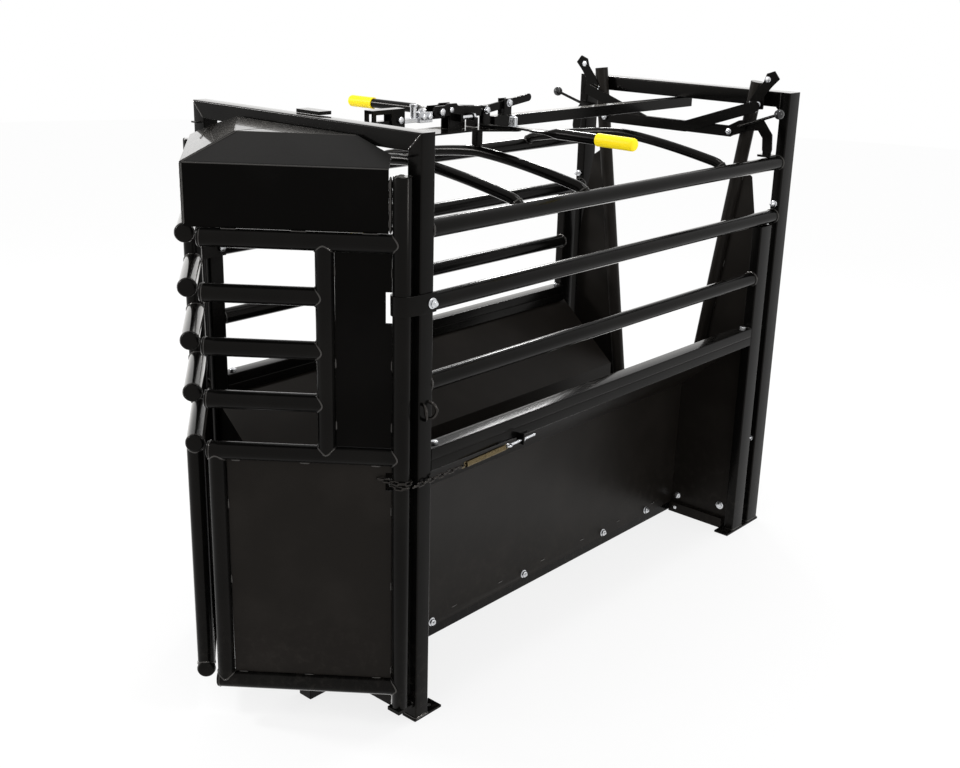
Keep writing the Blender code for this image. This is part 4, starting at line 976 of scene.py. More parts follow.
@dataclass
class RearFrame(Assembly):
    """Deep-tube portal at the tail, with its corner gussets and sill."""

    post_width: float = 0.038
    depth: float = 0.076
    beam_height: float = 0.054
    side_post_y: float = 1.784
    side_post_top: float = 1.2263
    post_foot: float = 0.004
    gusset: float = 0.020
    corner_radius: float = 0.0045
    sill_front: float = 1.895
    sill_high: float = 0.012

    def build(self) -> None:
        """Run the posts and the beam, and lay the sill."""
        y = REAR_FACE_Y - self.depth / 2
        inner = HALF_WIDTH - self.post_width
        x = HALF_WIDTH - self.post_width / 2
        under, lap = HEIGHT - self.beam_height, 0.002
        frame = Shape()
        post = rounded(self.post_width, self.depth, self.corner_radius)
        for sign in (1, -1):
            frame.bar((sign * x, y, self.post_foot), (sign * x, y, HEIGHT), post, REAR)
            corner = [(sign * (inner + lap), under + lap), (sign * (inner + lap), under - self.gusset),
                      (sign * (inner - self.gusset), under + lap)]
            frame.upright(corner, REAR_FACE_Y - self.depth + 0.004, REAR_FACE_Y - 0.004)
        z = HEIGHT - self.beam_height / 2
        beam = rounded(self.beam_height, self.depth, self.corner_radius)
        frame.bar((-inner - lap, y, z), (inner + lap, y, z), beam, REAR)
        self.put("rear_portal", frame, Paint.BLACK, "rear_frame")
        sill = Shape().slab((-inner, self.sill_front, 0.0), (inner, REAR_FACE_Y - lap, self.sill_high))
        self.put("rear_sill", sill, Paint.BLACK, edge=0.0016)


@dataclass
class RearCorner(RearFrame):
    """One rear corner's side post, flats, gate pin, stop bolts and welds, by the portal's own sizes."""

    foot_low: tuple[float, float, float] = (0.420, 1.740, 0.0)
    foot_high: tuple[float, float, float] = (0.480, REAR_FACE_Y, 0.008)
    lug_low: tuple[float, float, float] = (0.092, 1.9014, 0.004)
    lug_high: tuple[float, float, float] = (0.148, 1.9134, 0.135)
    pin: tuple[float, float, float] = (0.120, 1.8355, 0.100)
    upper_bolt: tuple[float, float] = (0.4555, 1.300)
    lower_bolt: tuple[float, float] = (0.4550, 0.367)

    def build(self) -> None:
        """Make the corner's pieces and lay the welds round the rails, the feet and the gusset."""
        inner, front_y = HALF_WIDTH - self.post_width, REAR_FACE_Y - self.depth
        x, y = HALF_WIDTH - self.post_width / 2, self.side_post_y + self.depth / 2
        section = rounded(self.post_width, self.depth, self.corner_radius)
        post = Shape().bar((x, y, self.post_foot), (x, y, self.side_post_top), section, REAR)
        self.put("side_post", post, Paint.BLACK)
        flats = Shape().slab(self.foot_low, self.foot_high).slab(self.lug_low, self.lug_high)
        self.put("rear_flats", flats, Paint.BLACK, edge=0.0014)
        metal = Shape().turned(self.pin, REAR, [(0.0, 0.0085), (0.0015, 0.0095), (0.070, 0.0095)])
        (x, z), (low_x, low_z) = self.upper_bolt, self.lower_bolt
        metal.hex_bolt((x, front_y, z), -REAR, 0.0132, 0.0100, 0.0, 0.022, 0.0055)
        metal.hex_bolt((low_x, front_y - 0.0005, low_z), -REAR, 0.0105, 0.0080, 0.0, 0.014)
        self.put("rear_bolts", metal, Paint.ZINC)
        welds = Shape()
        for _, z, end in RAILS:
            welds.ring_bead((RAIL_X, end, z), REAR, RAIL_WELD)
        for face in (self.side_post_y, front_y):
            welds.foot_beads((inner, face), (HALF_WIDTH, face + self.depth), 0.0030)
        low = HEIGHT - self.beam_height - self.gusset
        welds.bead([(inner - 0.001, front_y + 0.001, HEIGHT), (inner - 0.001, front_y + 0.001, low)], 0.0022)
        self.put("rear_welds", welds, Paint.WELD)


@dataclass
class SideFrame(Assembly):
    """Round rails, the panel's top rail and the sloped sheet of one side."""

    panel_low: float = 0.776
    panel_seam: float = 0.809
    panel_high: float = 0.842
    panel_inner: float = 0.4237
    panel_rear: float = 1.7837
    gap: float = 0.0003
    tab_low: tuple[float, float, float] = (HALF_WIDTH - 0.003, 0.418, 0.7593)
    tab_high: tuple[float, float, float] = (0.5002, 0.424, 0.792)
    rail_stitches: tuple[float, ...] = (0.30, 0.62, 0.95, 1.28, 1.58)
    sheet_x: float = 0.1720
    sheet_bolts: tuple[float, ...] = (0.380, 0.851, 1.326, 1.616)
    plate_y: float = 1.8040
    plate_bolts: tuple[tuple[float, float, float], ...] = ((0.200, 0.070, 0.0140), (0.398, 0.088, 0.0165))

    def build(self) -> None:
        """Make the rails, the panel and their hardware."""
        welds = Shape()
        for name, z, rear in RAILS:
            rail = Shape().pipe((RAIL_X, TUBE + self.gap, z), (RAIL_X, rear - self.gap, z))
            self.put(f"{name}_pipe", rail, Paint.BLACK, f"{name}_rail")
            welds.ring_bead((RAIL_X, TUBE, z), REAR, RAIL_WELD)
        self.panel_rail()
        for z in (self.panel_low, self.panel_high):
            welds.bead([(0.427, TUBE + self.gap, z), (0.472, TUBE + self.gap, z)], 0.0026)
            welds.bead([(0.440, self.panel_rear, z), (0.472, self.panel_rear, z)], 0.0026)
        welds.stitches(self.rail_stitches, 0.028, lambda y: np.stack(
            [np.full(2, 0.452), y, np.full(2, self.panel_low - 0.0005)], axis=1), 0.0026)
        self.put("rail_welds", welds, Paint.WELD)
        self.sheet()

    def panel_rail(self) -> None:
        """Make the square rail over the sheet: two halves that meet in a seam, with bolts and a tab."""
        front, rear = TUBE + self.gap, self.panel_rear
        x, width = (self.panel_inner + HALF_WIDTH) / 2, HALF_WIDTH - self.panel_inner
        seam, groove = self.panel_seam, 0.0004
        rail = Shape()
        for low, high in ((self.panel_low, seam - groove), (seam + groove, self.panel_high)):
            z = (low + high) / 2
            rail.bar((x, front, z), (x, rear, z), rounded(width, high - low, 0.0030))
        rail.slab((0.4260, front, seam - 0.003), (HALF_WIDTH - 0.0010, rear, seam + 0.003))
        self.put("panel_rail_tube", rail, Paint.BLACK, "panel_rail")
        self.put("spring_tab", Shape().slab(self.tab_low, self.tab_high), Paint.BLACK, edge=0.0012)
        bolts = Shape()
        for y in (0.088, 1.762):
            bolts.hex_bolt((RAIL_X, y, self.panel_high), UP, 0.0112, 0.0078)
        self.put("panel_rail_bolts", bolts, Paint.ZINC)

    def sheet(self) -> None:
        """Dress the sloped sheet and the bottom rail, and set the hardware along them."""
        self.dress("side_panel", Paint.SHEET, 0.0011)
        self.dress("bottom_rail", Paint.BLACK, 0.0035)
        bolts = Shape()
        for y in self.sheet_bolts:
            bolts.hex_bolt((self.sheet_x, y, 0.055), OUT, 0.0114, 0.0084, 0.0145, 0.006)
        for x, z, washer in self.plate_bolts:
            bolts.hex_bolt((x, self.plate_y, z), -REAR, 0.0114, 0.0084, washer)
        bolts.hex_bolt((0.206, 1.787, 0.024), -REAR, 0.0075, 0.0064)
        self.put("panel_bolts", bolts, Paint.ZINC)
        stitches = Shape().stitches(np.arange(0.24, 1.72, 0.235), 0.026, lambda y: np.stack(
            [np.full(2, self.sheet_x - 0.0002), y, np.full(2, 0.0710)], axis=1), 0.0024)
        self.put("panel_stitches", stitches, Paint.WELD)


@dataclass
class Door(Assembly):
    """One front door with its bars, hood, panels and welds."""

    length: float = 0.529
    upper_upright: float = 0.201
    lower_upright: float = 0.503
    tube_low: float = 0.057
    tube_high: float = 1.594
    bars: tuple[float, float, float] = (1.420, 0.832, 0.121)
    windows: tuple[float, float, float] = (1.273, 1.126, 0.979)
    bore: float = 0.0205
    face: float = -0.0030
    hood_depth: float = 0.137
    hood_fold: float = 1.610
    hood_top: float = 1.674
    stitch: float = 0.026
    hood_stitches: tuple[float, ...] = (0.060, 0.245, 0.425)
    corner_stitches: tuple[float, ...] = (1.462, 1.505, 1.560)
    upper_stitches: tuple[float, ...] = (0.905, 1.08, 1.33)
    lower_stitches: tuple[float, ...] = (0.160, 0.43, 0.66)
    hem_stitches: tuple[float, ...] = (0.055, 0.250, 0.440)
    hems: tuple[float, float] = (0.1475, 0.8055)

    def build(self) -> None:
        """Make the frame, lay the welds and dress the sheets."""
        self.frame()
        self.caps()
        self.joints()
        self.hood_seams()
        self.dress("door_hood", Paint.HOOD, 0.0009)
        self.dress("door_middle_panel", Paint.GLOSS, 0.0008)
        self.dress("door_lower_panel", Paint.SHEET, 0.0008)
        self.dress("catch_arm", Paint.ZINC, 0.0008)

    def frame(self) -> None:
        """Run the hinge tube with its open lower end, the bars and the two uprights."""
        r, rim, lip, length = PIPE_RADIUS, 0.0018, 0.0012, self.tube_high - self.tube_low
        profile = [(0.012, 0.0120), (0.0, self.bore), (0.0, r - rim), (rim * 0.4, r - rim * 0.3), (rim, r),
                   (length - 0.0030, r), (length - lip, r - lip), (length - lip, self.bore), (length, 0.0200),
                   (length, 0.0004)]
        frame = Shape().turned((*HINGE, self.tube_low), UP, profile, 48)
        for heights, start in ((self.bars, 0.010), (self.windows, self.upper_upright)):
            for z in heights:
                frame.pipe(door_point(start, 0.0, z), door_point(self.length - 0.004, 0.0, z))
        top, middle, low = self.bars
        uprights = ((self.upper_upright, middle, top, r), (self.lower_upright, low, middle, r - 0.0004))
        for d, foot, head, radius in uprights:
            frame.pipe(door_point(d, 0.0, foot), door_point(d, 0.0, head), radius)
        self.put("door_tubes", frame, Paint.BLACK, "door_frame", "door")

    def caps(self) -> None:
        """Close each bar with a domed cap and the ring of weld behind it."""
        r = BAR_RADIUS
        dome = [(-0.004, r * 0.98), (0.0, r + 0.0002), (0.0022, r - 0.0004), (0.0042, r - 0.0024),
                (0.0052, r - 0.0060), (0.0057, r * 0.45), (0.0058, 0.0006)]
        caps, rings = Shape(), Shape()
        for z in self.bars + self.windows:
            caps.turned(door_point(self.length - 0.0045, 0.0, z), DOOR_WAY, dome, 48)
            rings.ring_bead(door_point(self.length - 0.0085, 0.0, z), DOOR_WAY, r + 0.0002, 0.0017)
        self.put("door_caps", caps, Paint.BLACK, body="door")
        self.put("door_cap_welds", rings, Paint.WELD, body="door")

    def joints(self) -> None:
        """Lay the saddle welds at each joint and the stitches of the hood and panels."""
        welds = Shape()
        r, face, out = BAR_RADIUS, self.face, 0.0006
        top, middle, low = self.bars
        for start in (0.0, 1.9, 3.6, 5.0):
            welds.ring_bead((*HINGE, self.tube_high - 0.001), UP, 0.0222, 0.0024, start, 0.12)
        for heights, d in ((self.bars, 0.0), (self.windows, self.upper_upright)):
            for z in heights:
                welds.saddle_bead(door_point(d, 0.0, z), DOOR_WAY, UP, r - out, PIPE_RADIUS + 0.0004)
        for d, z, way, radius in ((self.upper_upright, top, -UP, PIPE_RADIUS - out),
                                  (self.upper_upright, middle, UP, PIPE_RADIUS - out),
                                  (self.lower_upright, middle, -UP, PIPE_RADIUS - 0.0010),
                                  (self.lower_upright, low, UP, PIPE_RADIUS - 0.0010)):
            welds.saddle_bead(door_point(d, 0.0, z), way, -DOOR_WAY, radius, r + out)
        welds.stitches(self.hood_stitches, 0.042, lambda d: door_point(d, face - 0.004, 1.4445), 0.0034)
        welds.bead(door_point(0.0300, face + 0.0005, [1.447, 1.592]), 0.0054)
        welds.stitches(self.corner_stitches, 0.022, lambda z: door_point(0.0330, face - 0.0015, z), 0.0032)
        edges = ((0.0262, self.upper_stitches), (self.upper_upright - 0.0262, self.upper_stitches),
                 (0.0265, self.lower_stitches), (self.lower_upright - 0.0262, self.lower_stitches))
        for d, heights in edges:
            welds.stitches(heights, self.stitch, lambda z, d=d: door_point(d, face, z), 0.0024)
        for z in self.hems:
            welds.stitches(self.hem_stitches, self.stitch, lambda d, z=z: door_point(d, face, z), 0.0026)
        self.put("door_welds", welds, Paint.WELD, body="door")

    def hood_seams(self) -> None:
        """Lay the seams up the hood's nose and ridge, and the two bright fold lines."""
        seam, fold = Shape(), circle(0.0017, 10)
        nose, top = ((HINGE[0] - 0.003 - depth * math.sin(DOOR_ANGLE)) / math.cos(DOOR_ANGLE)
                     for depth in (-0.0015, self.hood_depth))
        seam.bead(door_point(nose - 0.0008, -0.0012, [1.452, self.hood_fold - 0.001]), 0.0020)
        seam.bead([door_point(nose - 0.001, 0.0, self.hood_fold + 0.0010),
                   door_point(top - 0.001, self.hood_depth - 0.0016, self.hood_top + 0.0005)], 0.0019)
        seam.sweep(door_point(np.linspace(0.037, nose - 0.002, 8), -0.0007, self.hood_fold + 0.0001), fold)
        seam.sweep(door_point(np.linspace(0.138, top - 0.002, 8), self.hood_depth - 0.0009,
                              self.hood_top - 0.0001), fold)
        self.put("hood_seam", seam, Paint.WELD, body="door")


@dataclass
class ChainAndSpring(Assembly):
    """The door's chain, its spring, the eye bolt and the hook on the post."""

    link_length: float = 0.027
    link_width: float = 0.0138
    wire: float = 0.0022
    pitch: float = 0.0194
    links: int = 10
    coils: int = 47
    spring_length: float = 0.1632
    spring_radius: float = 0.0072
    spring_wire: float = 0.0016
    eye_radius: float = 0.0085
    eye_wire: float = 0.0030
    start: tuple[float, float, float] = (0.4825, -0.032, 0.7545)
    end: tuple[float, float, float] = (0.4890, 0.4820, 0.7740)
    nut_y: float = 0.4246
    turns: tuple[float, float] = (236, 712)
    wrap_stand: float = 0.0026
    wrap_high: float = 0.7680
    wrap_fall: float = 0.0170
    hook_spot: tuple[float, float] = (HALF_WIDTH + 0.0030, 0.026)

    def build(self) -> None:
        """Make the chain round the tube, its straight run, the spring and the eye bolt."""
        self.origin = np.array(self.start)
        self.along = unit(np.array(self.end) - self.origin)
        self.level = unit(np.cross(self.along, UP))
        self.rise = np.cross(self.level, self.along)
        run = Shape()
        for i in range(self.links):
            centre = self.origin + (self.link_length / 2 + i * self.pitch) * self.along
            roll = 0.0 if i == self.links - 1 else 45 if i % 2 else -45
            self.link(run, centre, self.along, self.level, roll)
        self.put("chain_links", run, Paint.CHAIN, "chain_run")
        self.wrap()
        self.spring()
        self.hook()

    def link(self, shape: Shape, centre: np.ndarray, along: np.ndarray, side: np.ndarray,
             roll: float) -> None:
        """Add one link: a round wire carried on a stadium, two half circles joined by straights.

        Args:
            shape: what it is added to.
            centre: its centre.
            along: the way that the chain runs.
            side: a direction square to that.
            roll: how far it is rolled from that direction, in degrees.
        """
        roll = math.radians(roll)
        across = math.cos(roll) * side + math.sin(roll) * np.cross(along, side)
        turn = np.linspace(-math.pi / 2, math.pi / 2, 9)
        bend = (self.link_width / 2 - self.wire) * np.stack([np.cos(turn), np.sin(turn)], axis=1)
        right = bend + ((self.link_length - self.link_width) / 2, 0.0)
        flat = np.concatenate([right, -right])
        path = centre + flat[:, :1] * along + flat[:, 1:] * across
        shape.sweep(path, circle(self.wire, 10), unit(np.cross(along, across)), closed=True)

    def wrap(self) -> None:
        """Lay the links round the hinge tube on a falling helix, from the tail on the door's face."""
        first, last = self.turns
        steps = np.linspace(0.0, 1.0, 240)
        angle = np.radians(first + (last - first) * steps)
        radius = PIPE_RADIUS + self.wrap_stand
        coil = np.stack([HINGE[0] + radius * np.cos(angle), HINGE[1] + radius * np.sin(angle),
                         self.wrap_high - self.wrap_fall * steps], axis=1)
        tail = door_point(np.linspace(0.060, 0.034, 20), np.linspace(-0.0066, -0.0170, 20), 0.7690)
        path = np.concatenate([tail, coil])
        step, near = self.pitch * 0.96, 0.006
        shape = Shape()
        for i in range(int(lengths(path)[-1] / step) + 1):
            spot = step * i + near
            behind, centre, ahead = at(path, [spot - near, spot, spot + near])
            way = unit(ahead - behind)
            self.link(shape, centre, way, unit(np.cross(way, UP)), 45 if i % 2 else -45)
        self.put("chain_on_tube", shape, Paint.CHAIN, "chain_wrap", "door")

    def spring(self) -> None:
        """Wind the spring, a helix about the line with a hook at each end, and make its eye bolt."""
        r, lap = self.spring_radius, 0.0024
        front = self.link_length + (self.links - 1) * self.pitch - 2 * self.wire - lap
        start = front + 2 * r + 0.004
        rear = start + self.spring_length + 0.004 + 2 * r
        turn = np.linspace(0.0, 2 * math.pi * self.coils, self.coils * 18 + 1)[:, None] + math.pi / 2
        along = np.linspace(start, start + self.spring_length, len(turn))[:, None]
        coil = self.origin + along * self.along + r * (np.cos(turn) * self.level + np.sin(turn) * self.rise)
        turn = np.radians(np.linspace(-20, 250, 16))[:, None]
        bend, back = r * np.sin(turn) * self.rise, r * np.cos(turn) * self.along
        first = self.origin + (front + r) * self.along - bend - back
        last = (self.origin + (rear - r) * self.along - bend + back)[::-1]
        shape = Shape().sweep(np.concatenate([first, coil, last]), circle(self.spring_wire, 8), self.along)
        self.put("extension_spring", shape, Paint.BRONZE, "door_spring")
        self.eye(rear - lap - self.eye_wire)

    def eye(self, front: float) -> None:
        """Turn the eye bolt: a ring, a threaded shank and a nut on the tab.

        Args:
            front: how far along the line the ring begins.
        """
        centre = self.origin + (front + self.eye_radius) * self.along
        around = circle(self.eye_radius)
        ring = centre + around[:, :1] * self.along + around[:, 1:] * self.level
        shape = Shape().sweep(ring, circle(self.eye_wire, 10), self.rise, closed=True)
        shank = centre + (self.eye_radius - 0.001) * self.along
        line = np.array(self.end) - self.origin
        shape.thread(shank, self.along, 0.0042, float(np.linalg.norm(np.array(self.end) - shank)), 0.0018)
        seat = self.origin + (self.nut_y - self.start[1]) / line[1] * line
        shape.hex_bolt(seat, self.along, 0.0092, 0.0072)
        self.put("eye_and_nut", shape, Paint.ZINC, "eye_bolt")

    def hook(self) -> None:
        """Weld the chain's spare hook to the post's outer face: two bent horns."""
        x, y = self.hook_spot
        shape = Shape()
        for tilt in (-1, 1):
            knots = [(x - 0.004, y + 0.013 * tilt, 0.984), (x + 0.011, y + 0.017 * tilt, 0.977),
                     (x + 0.019, y + 0.020 * tilt, 0.960), (x + 0.012, y + 0.014 * tilt, 0.942),
                     (x - 0.004, y + 0.008 * tilt, 0.936)]
            shape.sweep(smooth_path(knots, 24), circle(0.0044, 10), REAR)
        self.put("chain_hook", shape, Paint.CHAIN)


@dataclass
class Roof(Assembly):
    """Bent bows, the spine and the stop bracket."""

    stations: tuple[tuple[str, float], ...] = (("front", 0.430), ("middle", 0.740), ("rear", 1.526))
    bow_radius: float = 0.0167
    crown: float = 1.540
    end: float = 1.474
    power: float = 1.45
    dip: float = 0.016
    dip_from: float = 0.405
    dip_length: float = 0.044
    stub: float = 0.0254
    stub_top: float = 1.6142
    bracket_bolt: tuple[float, float, float] = (0.0145, 0.875, 1.686)

    def build(self) -> None:
        """Make the bows with their welds, and dress the spine.

        A bow's height is the crown less the 1.45 power of the distance, and a last dip into the rail.
        """
        x = np.linspace(-RAIL_X, RAIL_X, 61)
        dip = self.dip * (np.maximum(np.abs(x) - self.dip_from, 0.0) / self.dip_length) ** 2
        z = self.crown - (self.crown - self.end) * (np.abs(x) / RAIL_X) ** self.power - dip
        welds = Shape()
        for name, y in self.stations:
            bow = Shape().sweep(np.stack([x, np.full_like(x, y), z], axis=1), circle(self.bow_radius), REAR)
            if name == "middle":
                section = rounded(self.stub, self.stub, 0.002)
                bow.bar((0.0, y, self.crown), (0.0, y, self.stub_top), section, REAR)
                welds.ring_bead((0.0, y, self.crown + self.bow_radius + 0.0010), UP, 0.0150, 0.0030)
            self.put(f"{name}_bow_pipe", bow, Paint.BLACK, f"{name}_roof_bow")
            for sign in (1, -1):
                spot = (sign * (RAIL_X - 0.0165), y, 1.4690)
                welds.ring_bead(spot, (-sign * 0.80, 0.0, 0.60), self.bow_radius + 0.0006, 0.0030)
        self.put("bow_welds", welds, Paint.WELD)
        self.dress("spine_bar", Paint.BLACK, 0.0022)
        self.dress("lever_stop_bracket", Paint.BLACK, 0.0008)
        bolts = Shape()
        for sign in (1, -1):
            bolts.hex_bolt(np.multiply(self.bracket_bolt, (sign, 1, 1)), sign * OUT, 0.0098, 0.0070, 0.0125)
        self.put("stop_bracket_bolts", bolts, Paint.ZINC)


@dataclass
class Latch(Assembly):
    """Plate, channel, housing, slide and the hold-down lever, with their bolts."""

    hold_down: tuple[float, float, float] = (0.0105, 0.771, 1.669)
    jaw: tuple[float, float, float] = (0.050, 0.200, 1.6453)
    lever_half: float = 0.0038
    side_bolts: tuple[tuple[float, ...], ...] = ((0.0185, 0.552, 1.677, 0.0118, 0.0086),
                                                 (0.0185, 0.594, 1.681, 0.0088, 0.0066))
    channel_bolt: tuple[float, float, float] = (0.0175, 0.376, 1.664)
    long_bolt: tuple[float, float, float] = (0.033, 0.626, 1.6565)
    clevis: tuple[tuple[float, ...], ...] = ((0.0174, 0.4616, 1.6496, 0.5154, 1.6804),
                                             (0.0113, 0.3975, 1.6517, 0.4630, 1.6643))

    def build(self) -> None:
        """Dress the flat parts and make the hardware."""
        for node in ("latch_plate", "beam_cover_plate", "latch_channel", "latch_housing"):
            self.dress(node, Paint.BLACK, 0.0009)
        self.dress("lever_clevis", Paint.BLACK, 0.0007)
        self.dress("latch_slide", Paint.BLACK, 0.0007, "zinc")
        self.dress("hold_down_lever", Paint.BLACK, 0.0012)
        self.bolts()
        self.slide()

    def bolts(self) -> None:
        """Set the bolts that stay with the plate, the channel and the housing."""
        bolts = Shape()
        for side in Side:
            mirror, seat = (side.value, 1, 1), LEVER_Z[side] + self.lever_half
            bolts.hex_bolt(np.multiply(self.hold_down, mirror), side.value * OUT, 0.0098, 0.0070, 0.0120)
            bolts.hex_bolt((side.value * LEVER_PIVOT[0], LEVER_PIVOT[1], seat), UP, 0.0132,
                           max(1.6565 - seat, 0.0095), 0.0165, 0.006, 0.0055)
            bolts.hex_bolt(np.multiply(self.jaw, mirror), UP, 0.0098, 0.0078, 0.0120, 0.006)
        for x, y, z, radius, thickness in self.side_bolts:
            bolts.hex_bolt((x, y, z), OUT, radius, thickness)
        bolts.turned(self.long_bolt, REAR, [(0.0, 0.0064), (0.0525, 0.0064)], 24)
        bolts.hex_bolt(np.add(self.long_bolt, (0.0, 0.052, 0.0)), REAR, 0.0118, 0.0086)
        bolts.hex_bolt(self.channel_bolt, OUT, 0.0108, 0.0076)
        self.put("latch_bolts", bolts, Paint.ZINC)

    def slide(self) -> None:
        """Make the bright clevis of the slide and its bolts."""
        clevis = Shape()
        for half, y0, z0, y1, z1 in self.clevis:
            clevis.slab((-half, y0, z0), (half, y1, z1))
        self.put("slide_clevis", clevis, Paint.ZINC, body="latch_slide", edge=0.0012)
        button = [(0.0, 0.0122), (0.006, 0.0120), (0.0086, 0.0085), (0.0092, 0.0004)]
        bolts = Shape().turned((0.0, 0.4875, 1.680), UP, button, 32)
        for y in (0.476, 0.501):
            bolts.hex_bolt((0.017, y, 1.666), OUT, 0.0098, 0.0076)
        bolts.turned((0.0, 0.450, 1.664), UP, [(0.0, 0.0096), (0.034, 0.0096)], 32)
        bolts.hex_bolt((0.0, 0.450, 1.6972), UP, 0.0118, 0.0084)
        self.put("slide_bolts", bolts, Paint.ZINC, body="latch_slide")


@dataclass
class Lever(Assembly):
    """One latch lever: a flat bar that swells into a paddle, then a round handle in a ribbed grip."""

    knots: tuple[tuple[float, float], ...] = ((0.018, 0.737), LEVER_PIVOT, (0.200, 0.7687), (0.275, 0.7652))
    steps: tuple[int, ...] = (12, 12, 14, 25)
    tip: tuple[float, float] = (0.604, 0.750)
    aim: tuple[float, float] = (0.215, 0.768)
    handle_radius: float = 0.0160
    grip_radius: float = 0.0195
    grip_lengths: tuple[float, float] = (0.140, 0.112)
    rib_pitch: float = 0.0080

    def build(self) -> None:
        """Dress the jaw, forge the bar and mould its grip."""
        self.dress("latch_jaw", Paint.ZINC, 0.0006)
        z = LEVER_Z[self.side]
        tip = np.array([*self.tip, z])
        along = unit(tip - (*self.aim, z))
        self.bar([*(np.array([*knot, z]) for knot in self.knots), tip - 0.012 * along])
        self.grip(tip, along)

    def bar(self, corners: list[np.ndarray]) -> None:
        """Forge the bar: each ring is a superellipse, its power going from near square to round.

        Args:
            corners: the points that its middle line bends at.
        """
        legs = [np.linspace(a, b, n) for a, b, n in zip(corners, corners[1:], self.steps)]
        line = np.concatenate([leg[:-1] for leg in legs[:-1]] + legs[-1:])
        run = lengths(line)
        paddle, neck = (float(run[np.argmin(np.abs(line[:, 0] - knot[0]))]) for knot in self.knots[2:])
        end, r = run[-1], self.handle_radius
        half_width = np.interp(run, [0, paddle, paddle + 0.014, neck - 0.012, neck + 0.024, end],
                               [0.0135, 0.0135, 0.0270, 0.0240, r, r])[:, None]
        half_height = np.interp(run, [0, paddle, neck - 0.010, neck + 0.026, end],
                                [0.0035, 0.0037, 0.0050, r, r])[:, None]
        power = np.interp(run, [0, paddle, neck + 0.026, end], [0.28, 0.30, 1.0, 1.0])[:, None]
        c, s = circle(1.0).T[:, None, :]
        u = half_width * np.sign(c) * np.abs(c) ** power
        v = half_height * np.sign(s) * np.abs(s) ** power
        sideways = unit(np.cross(unit(np.gradient(line, axis=0)), UP))
        rings = line[:, None, :] + u[:, :, None] * sideways[:, None, :] + v[:, :, None] * UP
        self.put("lever_bar", Shape().grid(rings), Paint.BLACK, "latch_lever", "lever")

    def grip(self, tip: np.ndarray, along: np.ndarray) -> None:
        """Mould the grip: its radius dips at each rib, and its nose is a quarter round.

        Args:
            tip: the end of the grip.
            along: the way that it points.
        """
        radius, nose, dip = self.grip_radius, 0.010, 0.0006
        length = self.grip_lengths[self.side is Side.LEFT]
        steps = np.linspace(0.0, length - nose, 60)
        rib = radius - dip * (0.5 + 0.5 * np.cos(2 * math.pi * steps / self.rib_pitch)) * (steps > 0.006)
        turn = np.linspace(0.0, math.pi / 2, 8)[1:]
        profile = [(0.0, 0.0165), (0.0, radius - 0.0012), *zip(steps + 0.0008, rib),
                   *zip(length - nose + nose * np.sin(turn), radius - dip - 0.0115 * (1 - np.cos(turn))),
                   (length, 0.0005)]
        grip = Shape().turned(tip - length * along, along, profile, 40)
        self.put("grip_sleeve", grip, Paint.GRIP, "lever_grip", "lever")


@dataclass
class GateHalf(Assembly):
    """One leaning half of the tail gate: its tube, the tapered sheet, the lug and its bolts."""

    pivot_x: float = 0.120
    pivot_z: float = 0.100
    y: float = 1.873
    lean: float = math.radians(8.1)
    sheet_half: float = 0.0015
    sheet: tuple[tuple[float, float], ...] = ((0.4195, 0.150), (0.4195, 1.050), (0.389, 1.260),
                                              (0.366, 1.390))
    lug: tuple[tuple[float, float], ...] = (
        (0.345, 1.637), (0.345, 1.676), (0.366, 1.706), (0.394, 1.740), (0.403, 1.768), (0.433, 1.779),
        (0.455, 1.752), (0.427, 1.723), (0.401, 1.690), (0.399, 1.641))
    lug_thick: float = 0.007
    lug_bolts: tuple[tuple[float, float], ...] = ((0.380, 1.657), (0.412, 1.748))
    stop: tuple[float, float] = (0.352, 1.660)

    def centre(self, z: float) -> tuple[float, float, float]:
        """Centre of the right tube at a height."""
        return (self.pivot_x + (z - self.pivot_z) * math.tan(self.lean), self.y, z)

    def build(self) -> None:
        """Make the leaf, the lug, its hardware and the welds down the sheet's edge."""
        leaf = Shape().bar(self.centre(0.060), self.centre(1.735), circle(PIPE_RADIUS, 48), REAR)
        outline = [self.centre(0.150)[::2], *self.sheet, self.centre(1.430)[::2]]
        leaf.upright(outline, self.y - self.sheet_half, self.y + self.sheet_half)
        self.put("gate_leaf", leaf, Paint.BROWN, "gate_half", "gate")
        back = self.y - PIPE_RADIUS + 0.001
        front = back - self.lug_thick
        self.put("gate_lug", Shape().upright(self.lug, front, back), Paint.BLACK, body="gate", edge=0.0012)
        x, z = self.stop
        metal = Shape().turned((x, back - 0.004, z), REAR, [(0.0, 0.0120), (0.0290, 0.0120)])
        for x, z in self.lug_bolts:
            metal.hex_bolt((x, front, z), -REAR, 0.0112, 0.0052)
        self.put("gate_bolts", metal, Paint.ZINC, body="gate")
        welds = Shape()
        for z in np.arange(0.18, 1.40, 0.17):
            for offset in (0.0016, -0.0016):
                ends = np.array([self.centre(z), self.centre(z + 0.028)])
                welds.bead(ends + (PIPE_RADIUS + 0.0006, offset, 0.0), 0.0024)
        welds.ring_bead((self.pivot_x, self.y - 0.0005, self.pivot_z), REAR, 0.0130, 0.0022)
        self.put("gate_welds", welds, Paint.WELD, body="gate")


